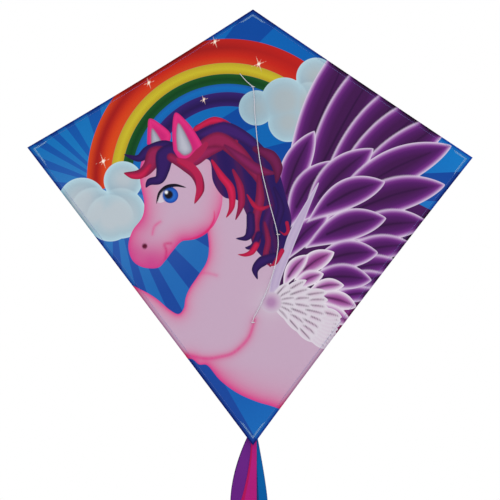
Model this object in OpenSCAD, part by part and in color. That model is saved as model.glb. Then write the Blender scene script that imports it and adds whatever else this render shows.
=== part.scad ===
// Single-line diamond kite: a printed cloth sail held flat by a fibreglass spine and a cross spar.
// Origin: centreline of the spine where the cross spar passes behind it.
// +X is to the right seen from the printed face, +Y is away from the printed face, +Z is up to the nose.

/* [Sail] */
// Width from tip to tip, along the cross spar
span = 762; // [500:2:1200]
// Height from the nose down to the bottom corner
sail_h = 744; // [500:2:1200]
// Height of the nose above the cross spar
nose_h = 244; // [160:2:400]
// Distance that the spine stands to the right of the middle of the span
spine_offset = 5; // [0:0.5:12]
// Angle that the cross spar sits out of square, left tip up
spar_lean = 1.3; // [0:0.1:3]
// Thickness of the sail cloth with its coating and print
sail_t = 0.4; // [0.2:0.1:0.8]
// Depth that the pull of the cloth hollows the upper left and lower right edges
edge_hollow = 3; // [0:0.5:8]

/* [Rods] */
// Diameter of the spine rod
spine_d = 4; // [3:0.5:6]
// Diameter of the cross spar rod
spar_d = 4; // [3:0.5:6]
// Distance from each corner of the sail to the end of the cap in it
corner_gap = 14; // [12:1:20]
// Wall of the vinyl end caps
cap_wall = 0.8; // [0.6:0.1:1.5]
// Length of the vinyl end caps
cap_len = 16; // [10:1:30]
// Thickness of the closed end of a cap
cap_end = 3; // [2:0.5:5]

/* [Corner pockets] */
// Length of the sewn sides of the tip pockets
tip_leg = 44; // [36:1:90]
// Length of the sewn sides of the nose pocket
nose_leg = 48; // [44:1:90]
// Length of the sewn sides of the bottom pocket
tail_leg = 66; // [60:1:110]
// Width of the hem along the sail's edges
hem_w = 6; // [4:0.5:12]
// Thickness of the pocket cloth
pocket_t = 0.5; // [0.4:0.1:1]

/* [Cross fitting] */
// Length of each half of the fitting along its rod
clip_len = 30; // [20:1:50]
// Wall of the fitting round its rod
clip_wall = 2; // [1.2:0.1:3]
// Thickness of the disc between the rod and the joint face
clip_floor = 2.8; // [2.4:0.1:4]
// Diameter of the two discs that turn on each other
disc_d = 16; // [13:0.5:24]
// Diameter of the rivet's shank
rivet_d = 3; // [2:0.5:4]
// Diameter of the rivet's heads
rivet_head_d = 5.4; // [4.4:0.2:7]
// Thickness of the rivet's heads
rivet_head_t = 0.8; // [0.6:0.1:1]
// Thickness of the pad behind the spar, which rests on a wall or a table
pad_t = 2.4; // [1.5:0.1:4]

/* [Bridle] */
// Diameter of the bridle line
line_d = 1.4; // [1:0.1:2.6]
// Height of the upper tie above the cross spar
tie_up = 112; // [60:1:160]
// Distance of the lower tie below the cross spar
tie_down = 290; // [150:1:360]
// Side of the square reinforcing patches
patch_w = 24; // [16:1:40]
// Thickness of the patches
patch_t = 0.3; // [0.2:0.1:0.3]
// Outer diameter of the tow ring
ring_od = 8; // [7:0.5:16]
// Thickness of the tow ring's wire
ring_wire = 1.5; // [1.2:0.1:2]

/* [Tail] */
// Height of the tail's pivot above the bottom corner
tail_up = 42; // [38:1:54]
// Width of the webbing tab that carries the tail
tab_w = 8; // [6:0.5:9]
// Thickness of the webbing
tab_t = 1; // [0.8:0.1:1.5]
// Length of the webbing tab that is sewn down
tab_len = 14; // [10:1:16]
// Diameter of the D-ring's wire
dring_wire = 1.8; // [1.4:0.1:2.4]
// Radius of the D-ring's wire centreline
dring_r = 6; // [6:0.5:9]
// Width of one ribbon
ribbon_w = 28; // [20:1:60]
// Length of one ribbon
ribbon_len = 900; // [600:10:1500]
// Thickness of the ribbon cloth
ribbon_t = 0.4; // [0.3:0.1:0.6]
// Distance between the layers of ribbon
ribbon_pitch = 0.9; // [0.8:0.1:1.2]
// Length over which the gathered ribbons fan out
fan_len = 120; // [80:5:200]
// Distance between the middles of the ribbons below the fan
ribbon_step = 19; // [10:1:30]
// Width of the binding that gathers the ribbons
band_w = 14; // [12:1:20]
// Height of the binding
band_h = 10; // [8:1:20]

/* [Hidden] */
$fn = 64;
e = 0.01;                                   // overlap that keeps cuts and unions clean
fit_gap = 0.05;                             // radial gap of a fit that turns or is pushed on
body_gap = 0.3;                             // gap between pieces that move past each other
far = 2000;                                 // longer than any piece, for blocks that only cut

// Ends of the rods
cap_r = spine_d / 2 + fit_gap + cap_wall;
spar_cap_r = spar_d / 2 + fit_gap + cap_wall;
cap_room_r = cap_r + fit_gap;
spar_room_r = spar_cap_r + body_gap;

// Depths behind the spine's centreline, front to back
joint_y = spine_d / 2 + fit_gap + clip_floor + fit_gap;
spar_y = joint_y + fit_gap + clip_floor + fit_gap + spar_d / 2;
pad_y = spar_y + spar_d / 2 + fit_gap + pad_t;
sail_mid_y = -cap_r - fit_gap;
sail_tip_y = spar_y - spar_room_r - pocket_t - fit_gap;
sail_front_y = sail_mid_y - sail_t;

// Corners of the sail, on its back face
left_x = span / 2 + spine_offset;
right_x = span / 2 - spine_offset;
nose_pt = [0, sail_mid_y, nose_h];
bottom_pt = [0, sail_mid_y, nose_h - sail_h];
left_pt = [-left_x * cos(spar_lean), sail_tip_y, left_x * sin(spar_lean)];
right_pt = [right_x * cos(spar_lean), sail_tip_y, -right_x * sin(spar_lean)];

// How far the capped rods reach from the crossing towards each corner
nose_end = nose_h - corner_gap;
bottom_end = sail_h - nose_h - corner_gap;
left_end = left_x - corner_gap;
right_end = right_x - corner_gap;
rod_short = cap_end + fit_gap;

// Turns about Y that point a rod's +Z at its corner
nose_turn = 0;
bottom_turn = 180;
left_turn = spar_lean - 90;
right_turn = spar_lean + 90;

// Bridle ties: a loop of line that goes round the spine and through two holes in the sail
tie_x = spine_d / 2 + 2 * fit_gap + line_d / 2;
tie_hole_r = line_d / 2 + 0.5;
knot_r = line_d * 1.05;
tie_front_y = sail_front_y - tie_x;
line_y = sail_front_y - line_d / 2 - 0.6;

// Tail: the D-ring's straight bar is the pivot, and its round side carries the tail
ridge_y = cap_room_r + pocket_t;
tab_y = ridge_y + fit_gap;
bar_room_r = dring_wire / 2 + 2 * fit_gap;
pivot_y = tab_y + 2 * tab_t;
pivot_z = nose_h - sail_h + tail_up;
loop_top = pivot_z - dring_r + dring_wire / 2 + 2 * fit_gap + 1.4;
loop_bottom = pivot_z - dring_r - dring_wire / 2 - 2 * fit_gap - 2.2;
loop_t = dring_wire + 4 * fit_gap + 1.6;
head_w = band_w - 1.4;

// Points that the bridle line passes: from the upper tie down to the tow ring and on to the lower tie
tow_pt = [42, line_y, -0.483 * tie_down];
route = [[0, tie_front_y, tie_up - knot_r - body_gap],
         [1.8, line_y, tie_up - 13],
         [4, line_y, 0.52 * tie_up],
         [11.5, line_y, -0.04 * tie_down],
         [27, line_y, -0.28 * tie_down],
         tow_pt,
         [41, line_y, -0.607 * tie_down],
         [31, line_y, -0.745 * tie_down],
         [14, line_y, -0.89 * tie_down],
         [2, line_y, 9 - tie_down],
         [0, tie_front_y, knot_r + body_gap - tie_down]];
// Points of the spare end of line at the upper tie
tag_route = [[-0.72 * knot_r, tie_front_y, tie_up + 0.72 * knot_r],
             [-6, line_y, tie_up + 5],
             [-14, line_y, tie_up + 12.5],
             [-22.5, line_y, tie_up + 22.5]];

// ---- Small tools ----

// Unit vector from point a to point b
function unit(a, b) = (b - a) / norm(b - a);
// Point at share t of the edge from a to b, moved towards the crossing by the hollow
function edge_pt(a, b, t, hollow) = a + (b - a) * t - unit([0, 0], (a + b) / 2) * hollow * 4 * t * (1 - t);
// Points along one edge, from a up to but not including b
function edge_pts(a, b, hollow, n = 10) = [for (i = [0 : n - 1]) edge_pt(a, b, i / n, hollow)];
// A point's x and z
function flat(p) = [p[0], p[2]];
// Catmull-Rom point at share t between points b and c
function curve_pt(a, b, c, d, t) =
    (2 * b + (c - a) * t + (2 * a - 5 * b + 4 * c - d) * t * t + (3 * b - a - 3 * c + d) * t * t * t) / 2;
// Smooth line through all the points, with n steps between each two
function smooth(p, n) = concat(
    [for (i = [0 : len(p) - 2]) for (k = [0 : n - 1])
        curve_pt(p[max(i - 1, 0)], p[i], p[i + 1], p[min(i + 2, len(p) - 1)], k / n)],
    [p[len(p) - 1]]);

// Round tube of radius r along the points p, closed at both ends
module tube(p, r, sides = 8) {
    n = len(p);
    rings = [for (i = [0 : n - 1])
        let (d = unit(p[max(i - 1, 0)], p[min(i + 1, n - 1)]), u = unit([0, 0, 0], cross(d, [0, 1, 0])), v = cross(d, u))
            for (k = [0 : sides - 1]) p[i] + r * (cos(360 * k / sides) * u + sin(360 * k / sides) * v)];
    walls = [for (i = [0 : n - 2]) for (k = [0 : sides - 1])
        let (a = i * sides + k, b = i * sides + (k + 1) % sides) [a, b, b + sides, a + sides]];
    first = [for (k = [sides - 1 : -1 : 0]) k];
    last = [for (k = [0 : sides - 1]) (n - 1) * sides + k];
    polyhedron(rings, concat(walls, [first, last]), convexity = 6);
}

// Places its children with +Z along a rod of depth y, turned about Y
module along_rod(y, turn) {
    translate([0, y, 0])
        rotate([0, turn, 0])
            children();
}

// Vertical slab that follows the two sloping halves of the sail, from y + front to y + back
module sail_slab(front, back) {
    left = left_pt * 1.1;
    right = right_pt * 1.1;
    mid = sail_mid_y;
    left_y = mid + (sail_tip_y - mid) * 1.1;
    translate([0, 0, -far / 2])
        linear_extrude(height = far)
            polygon([[left[0], left_y + front], [0, mid + front], [right[0], left_y + front],
                     [right[0], left_y + back], [0, mid + back], [left[0], left_y + back]]);
}

// ---- Sail and pockets ----

module sail() {
    outline = concat(
        edge_pts(flat(nose_pt), flat(left_pt), edge_hollow),
        edge_pts(flat(left_pt), flat(bottom_pt), edge_hollow / 4),
        edge_pts(flat(bottom_pt), flat(right_pt), edge_hollow),
        edge_pts(flat(right_pt), flat(nose_pt), edge_hollow / 4));
    color("mediumvioletred")
    difference() {
        intersection() {
            sail_slab(-sail_t, 0);
            translate([0, far / 2, 0])
                rotate([90, 0, 0])
                    linear_extrude(height = far)
                        polygon(outline);
        }
        tie_holes(tie_up);
        tie_holes(-tie_down);
    }
}

// The two holes on either side of the spine that a bridle tie goes through
module tie_holes(z) {
    for (side = [-1, 1])
        translate([side * tie_x, sail_mid_y + 1, z])
            rotate([90, 0, 0])
                cylinder(r = tie_hole_r, h = sail_t + 2);
}

// Cloth patch sewn behind a corner along both edges, raised over a rod's end, open towards the middle
module pocket(corner, to_a, to_b, leg, room_r, y, turn) {
    side_a = unit(corner, to_a);
    side_b = unit(corner, to_b);
    half = acos(side_a * side_b) / 2;
    apex = corner + (side_a + side_b) / norm(side_a + side_b) * hem_w / sin(half);
    reach = norm(flat(corner));
    mouth = reach - hem_w / sin(half) - leg * cos(half);
    stop = reach - corner_gap + fit_gap;
    difference() {
        hull() {
            for (p = [apex, apex + side_a * leg, apex + side_b * leg])
                translate(p - [pocket_t / 2, 0, pocket_t / 2])
                    cube(pocket_t);
            along_rod(y, turn)
                translate([0, 0, mouth])
                    cylinder(r = room_r + pocket_t, h = stop - mouth, $fn = 32);
        }
        along_rod(y, turn)
            translate([0, 0, mouth - far / 4])
                cylinder(r = room_r, h = stop - mouth + far / 4);
        sail_slab(-far, fit_gap);
    }
}

module nose_pocket() {
    color("midnightblue")
    pocket(nose_pt, left_pt, right_pt, nose_leg, cap_room_r, 0, nose_turn);
}

module tail_pocket() {
    color("midnightblue")
    pocket(bottom_pt, left_pt, right_pt, tail_leg, cap_room_r, 0, bottom_turn);
}

module tip_pocket_left() {
    color("midnightblue")
    pocket(left_pt, nose_pt, bottom_pt, tip_leg, spar_room_r, spar_y, left_turn);
}

module tip_pocket_right() {
    color("midnightblue")
    pocket(right_pt, nose_pt, bottom_pt, tip_leg, spar_room_r, spar_y, right_turn);
}

// ---- Rods and end caps ----

// Rod between two distances from the crossing
module rod(d, low, high) {
    translate([0, 0, low])
        cylinder(d = d, h = high - low);
}

// Vinyl cap pushed on a rod of diameter d, with its closed, rounded end at the given distance
module cap(d, end) {
    r = d / 2 + fit_gap + cap_wall;
    bore = d / 2 + fit_gap;
    round_r = 1.2;
    square_end = r - round_r;
    translate([0, 0, end - cap_len])
        rotate_extrude()
            union() {
                translate([bore, 0])
                    square([cap_wall, cap_len - round_r]);
                translate([0, cap_len - cap_end])
                    square([r, cap_end - round_r]);
                translate([0, cap_len - round_r - e])
                    square([square_end, round_r + e]);
                intersection() {
                    translate([square_end, cap_len - round_r])
                        circle(r = round_r);
                    translate([square_end - e, cap_len - round_r - e])
                        square(round_r + 1);
                }
            }
}

module spine() {
    color("ivory")
    rod(spine_d, rod_short - bottom_end, nose_end - rod_short);
}

module spine_cap_top() {
    color("black")
    cap(spine_d, nose_end);
}

module spine_cap_bottom() {
    color("black")
    along_rod(0, bottom_turn)
        cap(spine_d, bottom_end);
}

module cross_spar() {
    color("ivory")
    along_rod(spar_y, left_turn)
        rod(spar_d, rod_short - right_end, left_end - rod_short);
}

module spar_cap_left() {
    color("black")
    along_rod(spar_y, left_turn)
        cap(spar_d, left_end);
}

module spar_cap_right() {
    color("black")
    along_rod(spar_y, right_turn)
        cap(spar_d, right_end);
}

// ---- Cross fitting ----

// Half of the fitting: a sleeve round a rod, a block under it and a disc whose face is at +Y, open at the rivet
module fitting_half(d) {
    bore = d / 2 + fit_gap;
    face = bore + clip_floor;
    difference() {
        union() {
            translate([0, 0, -clip_len / 2])
                cylinder(r = bore + clip_wall, h = clip_len);
            translate([-bore - clip_wall, 0, -clip_len / 2])
                cube([2 * (bore + clip_wall), bore + clip_floor * 0.6, clip_len]);
            rotate([-90, 0, 0])
                cylinder(d = disc_d, h = face);
        }
        translate([0, 0, -clip_len])
            cylinder(r = bore, h = 2 * clip_len);
        rotate([-90, 0, 0])
            cylinder(d = rivet_d + 2 * fit_gap, h = face + 1);
        rotate([-90, 0, 0])
            cylinder(d = rivet_head_d + 0.4, h = bore + rivet_head_t + 2 * fit_gap);
    }
}

module spine_clip() {
    snap_w = spine_d * 0.7;
    color("dimgray")
    difference() {
        fitting_half(spine_d);
        translate([-far / 2, -far - spine_d * 0.35, -far / 2])
            cube(far);
        translate([-snap_w / 2, -far, -far / 2])
            cube([snap_w, far, far]);
    }
}

module spar_clip() {
    color("dimgray")
    along_rod(spar_y, left_turn)
        difference() {
            union() {
                rotate([0, 0, 180])
                    fitting_half(spar_d);
                translate([-spar_d / 2 - fit_gap - clip_wall, 0, -clip_len / 2])
                    cube([spar_d + 2 * (fit_gap + clip_wall), pad_y - spar_y, clip_len]);
            }
            translate([0, 0, -clip_len])
                cylinder(d = spar_d + 2 * fit_gap, h = 2 * clip_len);
        }
}

module swivel_rivet() {
    front = spine_d / 2 + 2 * fit_gap;
    back = spar_y - spar_d / 2 - 2 * fit_gap;
    color("silver")
    translate([0, front, 0])
        rotate([-90, 0, 0]) {
            cylinder(d = rivet_d, h = back - front);
            cylinder(d = rivet_head_d, h = rivet_head_t);
            translate([0, 0, back - front - rivet_head_t])
                cylinder(d = rivet_head_d, h = rivet_head_t);
        }
}

// ---- Bridle ----

// Square patch stuck behind the sail, with the same two holes
module patch(z) {
    difference() {
        intersection() {
            sail_slab(fit_gap, fit_gap + patch_t);
            translate([-patch_w / 2, -far / 2, z - patch_w / 2])
                cube([patch_w, far, patch_w]);
        }
        tie_holes(z);
    }
}

module bridle_patch_upper() {
    color("white")
    patch(tie_up);
}

module bridle_patch_lower() {
    color("white")
    patch(-tie_down);
}

// Loop of line round the spine, out through the sail's two holes and knotted in front
module tie(z) {
    translate([0, 0, z]) {
        rotate_extrude(angle = 180)
            translate([tie_x, 0])
                circle(d = line_d);
        for (side = [-1, 1])
            translate([side * tie_x, 0, 0])
                rotate([90, 0, 0])
                    cylinder(d = line_d, h = -sail_front_y);
        translate([0, sail_front_y, 0])
            rotate([0, 0, 180])
                rotate_extrude(angle = 180)
                    translate([tie_x, 0])
                        circle(d = line_d);
        translate([0, tie_front_y, 0])
            rotate([0, 90, 0])
                sphere(r = knot_r);
    }
}

module bridle_tie_upper() {
    color("white")
    tie(tie_up);
}

module bridle_tie_lower() {
    color("white")
    tie(-tie_down);
}

module bridle_tag() {
    color("white")
    tube(smooth(tag_route, 4), line_d / 2);
}

module bridle_line() {
    color("white")
    tube(smooth(route, 6), line_d / 2);
}

module tow_knot() {
    color("white")
    translate(tow_pt)
        sphere(r = knot_r);
}

module tow_ring() {
    ring_r = (ring_od - ring_wire) / 2;
    color("silver")
    translate(tow_pt + [ring_r * sin(20), -ring_r * cos(20), 0])
        rotate_extrude()
            translate([ring_r, 0])
                circle(d = ring_wire);
}

// ---- Tail ----

module tail_tab() {
    color("midnightblue")
    translate([-tab_w / 2, 0, pivot_z])
        difference() {
            union() {
                translate([0, pivot_y, 0])
                    rotate([0, 90, 0])
                        cylinder(r = bar_room_r + tab_t, h = tab_w);
                translate([0, tab_y, 0])
                    cube([tab_w, 2 * tab_t, tab_len]);
            }
            translate([-1, pivot_y, 0])
                rotate([0, 90, 0])
                    cylinder(r = bar_room_r, h = tab_w + 2);
        }
}

module tail_ring() {
    color("silver")
    translate([0, pivot_y, pivot_z]) {
        rotate([90, 0, 0])
            rotate([0, 0, 180])
                rotate_extrude(angle = 180)
                    translate([dring_r, 0])
                        circle(d = dring_wire);
        translate([-dring_r, 0, 0])
            rotate([0, 90, 0])
                cylinder(d = dring_wire, h = 2 * dring_r);
        for (side = [-1, 1])
            translate([side * dring_r, 0, 0])
                sphere(d = dring_wire);
    }
}

// Room for the round side of the D-ring, all the way round its middle
module ring_room() {
    translate([0, pivot_y, pivot_z])
        rotate([90, 0, 0])
            rotate_extrude()
                translate([dring_r, 0])
                    circle(r = bar_room_r);
}

module tail_loop() {
    color("purple")
    difference() {
        translate([-tab_w / 2, pivot_y - loop_t / 2, loop_bottom])
            cube([tab_w, loop_t, loop_top - loop_bottom]);
        ring_room();
    }
}

module tail_band() {
    color("purple")
    translate([-band_w / 2, pivot_y - loop_t / 2, loop_bottom - band_h - fit_gap])
        difference() {
            cube([band_w, loop_t, band_h]);
            translate([0.5, 0.4, -1])
                cube([band_w - 1, loop_t - 0.8, band_h]);
        }
}

// One ribbon: gathered in the binding, then fanned out to its full width beside the others
module ribbon(layer, place) {
    top = loop_bottom - fit_gap - 1.5;
    neck = top - band_h;
    fan = neck - fan_len;
    end = top - ribbon_len;
    mid = place * ribbon_step;
    translate([0, pivot_y + layer * ribbon_pitch + ribbon_t / 2, 0])
        rotate([90, 0, 0])
            linear_extrude(height = ribbon_t)
                polygon([[-head_w / 2, top], [-head_w / 2, neck], [mid - ribbon_w / 2, fan], [mid - ribbon_w / 2, end],
                         [mid + ribbon_w / 2, end], [mid + ribbon_w / 2, fan], [head_w / 2, neck], [head_w / 2, top]]);
}

module tail_ribbon_purple() {
    color("rebeccapurple")
    ribbon(0, -1.3);
}

module tail_ribbon_magenta() {
    color("mediumvioletred")
    ribbon(-1, -0.4);
}

module tail_ribbon_blue() {
    color("royalblue")
    ribbon(1, 0.6);
}

sail();
nose_pocket();
tail_pocket();
tip_pocket_left();
tip_pocket_right();
spine();
spine_cap_top();
spine_cap_bottom();
cross_spar();
spar_cap_left();
spar_cap_right();
spine_clip();
spar_clip();
swivel_rivet();
bridle_patch_upper();
bridle_patch_lower();
bridle_tie_upper();
bridle_tie_lower();
bridle_tag();
bridle_line();
tow_knot();
tow_ring();
tail_tab();
tail_ring();
tail_loop();
tail_band();
tail_ribbon_purple();
tail_ribbon_magenta();
tail_ribbon_blue();
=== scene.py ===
"""Diamond kite hanging in still air: printed sail, sprung frame, bridle line and ribbon tail."""

import contextlib
import math

import bmesh
import bpy
import numpy as np
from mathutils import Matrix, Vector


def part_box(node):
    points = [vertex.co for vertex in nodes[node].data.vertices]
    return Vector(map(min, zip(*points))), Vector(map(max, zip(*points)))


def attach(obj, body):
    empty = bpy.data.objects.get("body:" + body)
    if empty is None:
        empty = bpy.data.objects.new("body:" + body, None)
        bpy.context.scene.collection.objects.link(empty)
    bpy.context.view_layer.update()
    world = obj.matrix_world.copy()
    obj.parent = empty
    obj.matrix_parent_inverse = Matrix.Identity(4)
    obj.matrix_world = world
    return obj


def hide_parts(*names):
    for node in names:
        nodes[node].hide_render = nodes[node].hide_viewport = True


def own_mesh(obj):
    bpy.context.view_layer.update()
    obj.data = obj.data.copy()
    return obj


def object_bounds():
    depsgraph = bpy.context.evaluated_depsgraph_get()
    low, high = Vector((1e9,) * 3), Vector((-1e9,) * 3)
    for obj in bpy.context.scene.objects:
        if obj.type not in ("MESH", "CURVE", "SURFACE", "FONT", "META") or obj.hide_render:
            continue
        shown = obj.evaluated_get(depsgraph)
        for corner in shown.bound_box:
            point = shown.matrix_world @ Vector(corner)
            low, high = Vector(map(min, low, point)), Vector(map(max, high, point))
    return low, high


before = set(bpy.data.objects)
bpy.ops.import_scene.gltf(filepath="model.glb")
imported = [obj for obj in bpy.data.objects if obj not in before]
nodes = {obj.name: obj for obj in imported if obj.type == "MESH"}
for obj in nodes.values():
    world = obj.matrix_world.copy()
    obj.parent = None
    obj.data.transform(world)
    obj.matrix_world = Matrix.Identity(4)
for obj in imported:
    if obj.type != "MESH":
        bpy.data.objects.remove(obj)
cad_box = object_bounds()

MM = 0.001

# ---- Camera ----
# A long lens set square in front of the face, a little below the crossing of the rods.
# It takes in the sail and the top of the tail.

VIEW_MIDDLE = (-5.0 * MM, -166.6 * MM)      # x and z in the middle of the picture
VIEW_WIDTH = 0.8543                         # width of the view at the sail
CAMERA_DISTANCE = 4.0

lens = bpy.data.cameras.new("camera")
lens.sensor_width = 36.0
lens.lens = 36.0 * CAMERA_DISTANCE / VIEW_WIDTH
camera = bpy.data.objects.new("camera", lens)
camera.location = (VIEW_MIDDLE[0], -CAMERA_DISTANCE, VIEW_MIDDLE[1])
camera.rotation_euler = (math.pi / 2, 0, 0)
bpy.context.collection.objects.link(camera)
bpy.context.scene.camera = camera
bpy.context.scene.view_settings.view_transform = "Standard"

# ---- Bridle line, its ties, the spare end and the tow knot ----
# Braided white polyester line of 1.4 mm. One length runs from the upper tie to the lower tie, with the tow
# ring knotted on it; each tie goes through two holes in the sail and round the spine.
# The knots are pulled tight, and the spare end above the upper tie is left long.


def colour(hex_code):
    """Linear colour of an sRGB hex value: each channel c becomes ((c + 0.055) / 1.055) ** 2.4."""
    c = np.array([int(hex_code[i : i + 2], 16) for i in (1, 3, 5)]) / 255.0
    return np.where(c <= 0.04045, c / 12.92, ((c + 0.055) / 1.055) ** 2.4)


def rgba(hex_code):
    """The same colour with full cover, for a shader's socket."""
    return (*colour(hex_code), 1.0)


def feed(tree, node, inputs):
    """Gives a node its inputs: pairs of a socket and a value, or the socket that feeds it."""
    for socket, value in inputs:
        if isinstance(value, bpy.types.NodeSocket):
            tree.links.new(value, node.inputs[socket])
        else:
            node.inputs[socket].default_value = value


def add(tree, kind, inputs=(), **settings):
    """Adds one node with its settings and inputs."""
    made = tree.nodes.new(kind)
    for name, value in settings.items():
        setattr(made, name, value)
    feed(tree, made, inputs)
    return made


def new_material(name):
    """An empty node material with its principled shader and output."""
    made = bpy.data.materials.new(name)
    made.use_nodes = True
    made.node_tree.nodes.clear()
    shader = add(made.node_tree, "ShaderNodeBsdfPrincipled")
    add(made.node_tree, "ShaderNodeOutputMaterial", [("Surface", shader.outputs["BSDF"])])
    return made, made.node_tree, shader


def ripple(tree, distance, pitch):
    """A wave along a distance: sin(2 pi distance / pitch)."""
    angle = add(tree, "ShaderNodeMath", [(0, distance), (1, 2 * math.pi / pitch)], operation="MULTIPLY")
    return add(tree, "ShaderNodeMath", [(0, angle.outputs[0])], operation="SINE").outputs[0]


def smooth(points, steps):
    """Catmull-Rom line through the points, with a number of steps between each two."""
    p = np.asarray(points, float)
    p = np.vstack([p[:1], p, p[-1:]])
    t = (np.arange(steps) / steps)[None, :, None]
    a, b, c, d = (p[i : len(p) - 3 + i][:, None] for i in range(4))
    line = (2 * b + (c - a) * t + (2 * a - 5 * b + 4 * c - d) * t**2 + (3 * b - a - 3 * c + d) * t**3) / 2
    return np.vstack([line.reshape(-1, p.shape[1]), p[-1:]])


def mesh_piece(name, points, faces, material, uvs=None):
    """A mesh object at the origin from points and faces, with a UV pair for each face corner if it needs one."""
    mesh = bpy.data.meshes.new(name)
    mesh.from_pydata(points.tolist(), [], faces)
    if uvs is not None:
        mesh.uv_layers.new(name="UVMap").data.foreach_set("uv", uvs.astype(np.float32).ravel())
    mesh.materials.append(material)
    mesh.shade_smooth()
    made = bpy.data.objects.new(name, mesh)
    bpy.context.collection.objects.link(made)
    return made


def run_of(line):
    """Distance run along a line of points, at each of them."""
    return np.concatenate([[0], np.cumsum(np.linalg.norm(np.diff(line, axis=0), axis=1))])


def surface(name, grid, material, around=False):
    """A grid of points (rows, columns, 3) as quads, joined round its columns if around.
    The UV map holds metres across and along, measured on the middle row and the middle column."""
    rows, cols = grid.shape[:2]
    i = np.arange(rows - 1)[:, None]
    j = np.arange(cols if around else cols - 1)[None, :]
    k = (j + 1) % cols
    quads = np.stack([i * cols + j, i * cols + k, (i + 1) * cols + k, (i + 1) * cols + j], -1)
    across = run_of(np.concatenate([grid[rows // 2], grid[rows // 2][:1]]))
    along = run_of(grid[:, cols // 2])
    u = np.stack(np.broadcast_arrays(across[j], across[j + 1], across[j + 1], across[j] + 0 * i), -1)
    v = np.stack(np.broadcast_arrays(along[i], along[i], along[i + 1], along[i + 1] + 0 * j), -1)
    uvs = np.stack([u, v], -1).reshape(-1, 2)
    return mesh_piece(name, grid.reshape(-1, 3), quads.reshape(-1, 4).tolist(), material, uvs)


@contextlib.contextmanager
def open_mesh(piece):
    """The piece's mesh, opened for work and put back."""
    work = bmesh.new()
    work.from_mesh(piece.data)
    work.verts.ensure_lookup_table()
    yield work
    work.to_mesh(piece.data)
    work.free()


def outwards(piece):
    """Turns the faces of a closed piece outwards."""
    with open_mesh(piece) as work:
        bmesh.ops.recalc_face_normals(work, faces=work.faces)
    return piece


def fill_ends(piece, ring):
    """Closes the first and last ring of a tube or strap with one face each."""
    with open_mesh(piece) as work:
        last = len(work.verts) - ring
        work.faces.new([work.verts[i] for i in range(ring)][::-1])
        work.faces.new([work.verts[last + i] for i in range(ring)])


def tube(name, path, radius, material, sides=12, closed=False):
    """Round section of the given radius carried along a path on a frame that turns as little as it can.
    Each ring is the path's point plus radius * (cos a * side + sin a * up)."""
    p = np.asarray(path, float)
    r = np.broadcast_to(radius, (len(p),))
    ahead = np.roll(p, -1, 0) - np.roll(p, 1, 0) if closed else np.gradient(p, axis=0)
    ahead /= np.linalg.norm(ahead, axis=1)[:, None]
    side = np.zeros_like(p)
    side[0] = np.cross(ahead[0], (0.31, 0.9, 0.28))
    side[0] /= np.linalg.norm(side[0])
    for i in range(1, len(p)):
        side[i] = side[i - 1] - ahead[i] * (side[i - 1] @ ahead[i])
        side[i] /= np.linalg.norm(side[i])
    up = np.cross(ahead, side)
    if closed:
        slip = math.atan2(side[-1] @ up[0], side[-1] @ side[0])
        turn = -slip * np.arange(len(p))[:, None] / (len(p) - 1)
        side, up = side * np.cos(turn) + up * np.sin(turn), up * np.cos(turn) - side * np.sin(turn)
        p, r, side, up = (np.concatenate([x, x[:1]]) for x in (p, r, side, up))
    a = 2 * np.pi * np.arange(sides) / sides
    ring = np.cos(a)[:, None] * side[:, None] + np.sin(a)[:, None] * up[:, None]
    made = surface(name, p[:, None] + r[:, None, None] * ring, material, around=True)
    if closed:
        with open_mesh(made) as work:
            bmesh.ops.remove_doubles(work, verts=work.verts, dist=1e-7)
    else:
        fill_ends(made, sides)
    made.data.shade_smooth()
    return outwards(made)


# Braided polyester: sixteen strands laid over each other leave a herringbone of small soft bumps, white, with a
# painted lilac-grey shade in the grooves and no gloss. The strands are 0.4 mm, drawn 0.9 mm long so that they show.
STRAND = 0.9 * MM

braid, tree, shader = new_material("braided_polyester_line")
place = add(tree, "ShaderNodeTexCoord")
split = add(tree, "ShaderNodeSeparateXYZ", [(0, place.outputs["UV"])])
lays = [add(tree, "ShaderNodeMath", [(0, split.outputs["X"]), (1, split.outputs["Y"])], operation=way)
        for way in ("ADD", "SUBTRACT")]
waves = [ripple(tree, lay.outputs[0], STRAND) for lay in lays]
strands = add(tree, "ShaderNodeMath", [(0, waves[0]), (1, waves[1])], operation="MAXIMUM")
# Painted shade: white on the strands, lilac-grey in the grooves between them.
tone = add(tree, "ShaderNodeMapRange", [(0, strands.outputs[0]), (1, -1.0), (2, 1.0)])
shade = add(tree, "ShaderNodeMix", [(0, tone.outputs[0]), (6, rgba("#a9a6b8")), (7, rgba("#e2e0e8"))],
            data_type="RGBA")
bump = add(tree, "ShaderNodeBump", [("Strength", 0.7), ("Distance", 0.12 * MM), ("Height", strands.outputs[0])])
feed(tree, shader, [("Base Color", shade.outputs[2]), ("Normal", bump.outputs[0]), ("Roughness", 0.75),
                    ("Sheen Weight", 0.3)])

LINE_R = 0.7 * MM
UPPER_TIE = 112 * MM
LOWER_TIE = -290 * MM
TIE_HALF = 2.8 * MM                         # from the spine's centre to the line wound round it
sail_low, sail_high = (np.array(corner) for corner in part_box("sail"))
sail_front = sail_low[1]
line_y = sail_front - LINE_R - 0.6 * MM
tie_front = sail_front - TIE_HALF
tow = np.array([42 * MM, line_y, -140.07 * MM])
bridle_route = smooth([
    [0, tie_front, UPPER_TIE - 1.77 * MM], [1.8 * MM, line_y, UPPER_TIE - 13 * MM],
    [4 * MM, line_y, 58.24 * MM], [11.5 * MM, line_y, -11.6 * MM], [27 * MM, line_y, -81.2 * MM], tow,
    [41 * MM, line_y, -176.03 * MM], [31 * MM, line_y, -216.05 * MM], [14 * MM, line_y, -258.1 * MM],
    [2 * MM, line_y, LOWER_TIE + 9 * MM], [0, tie_front, LOWER_TIE + 1.77 * MM],
], 12)
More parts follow.
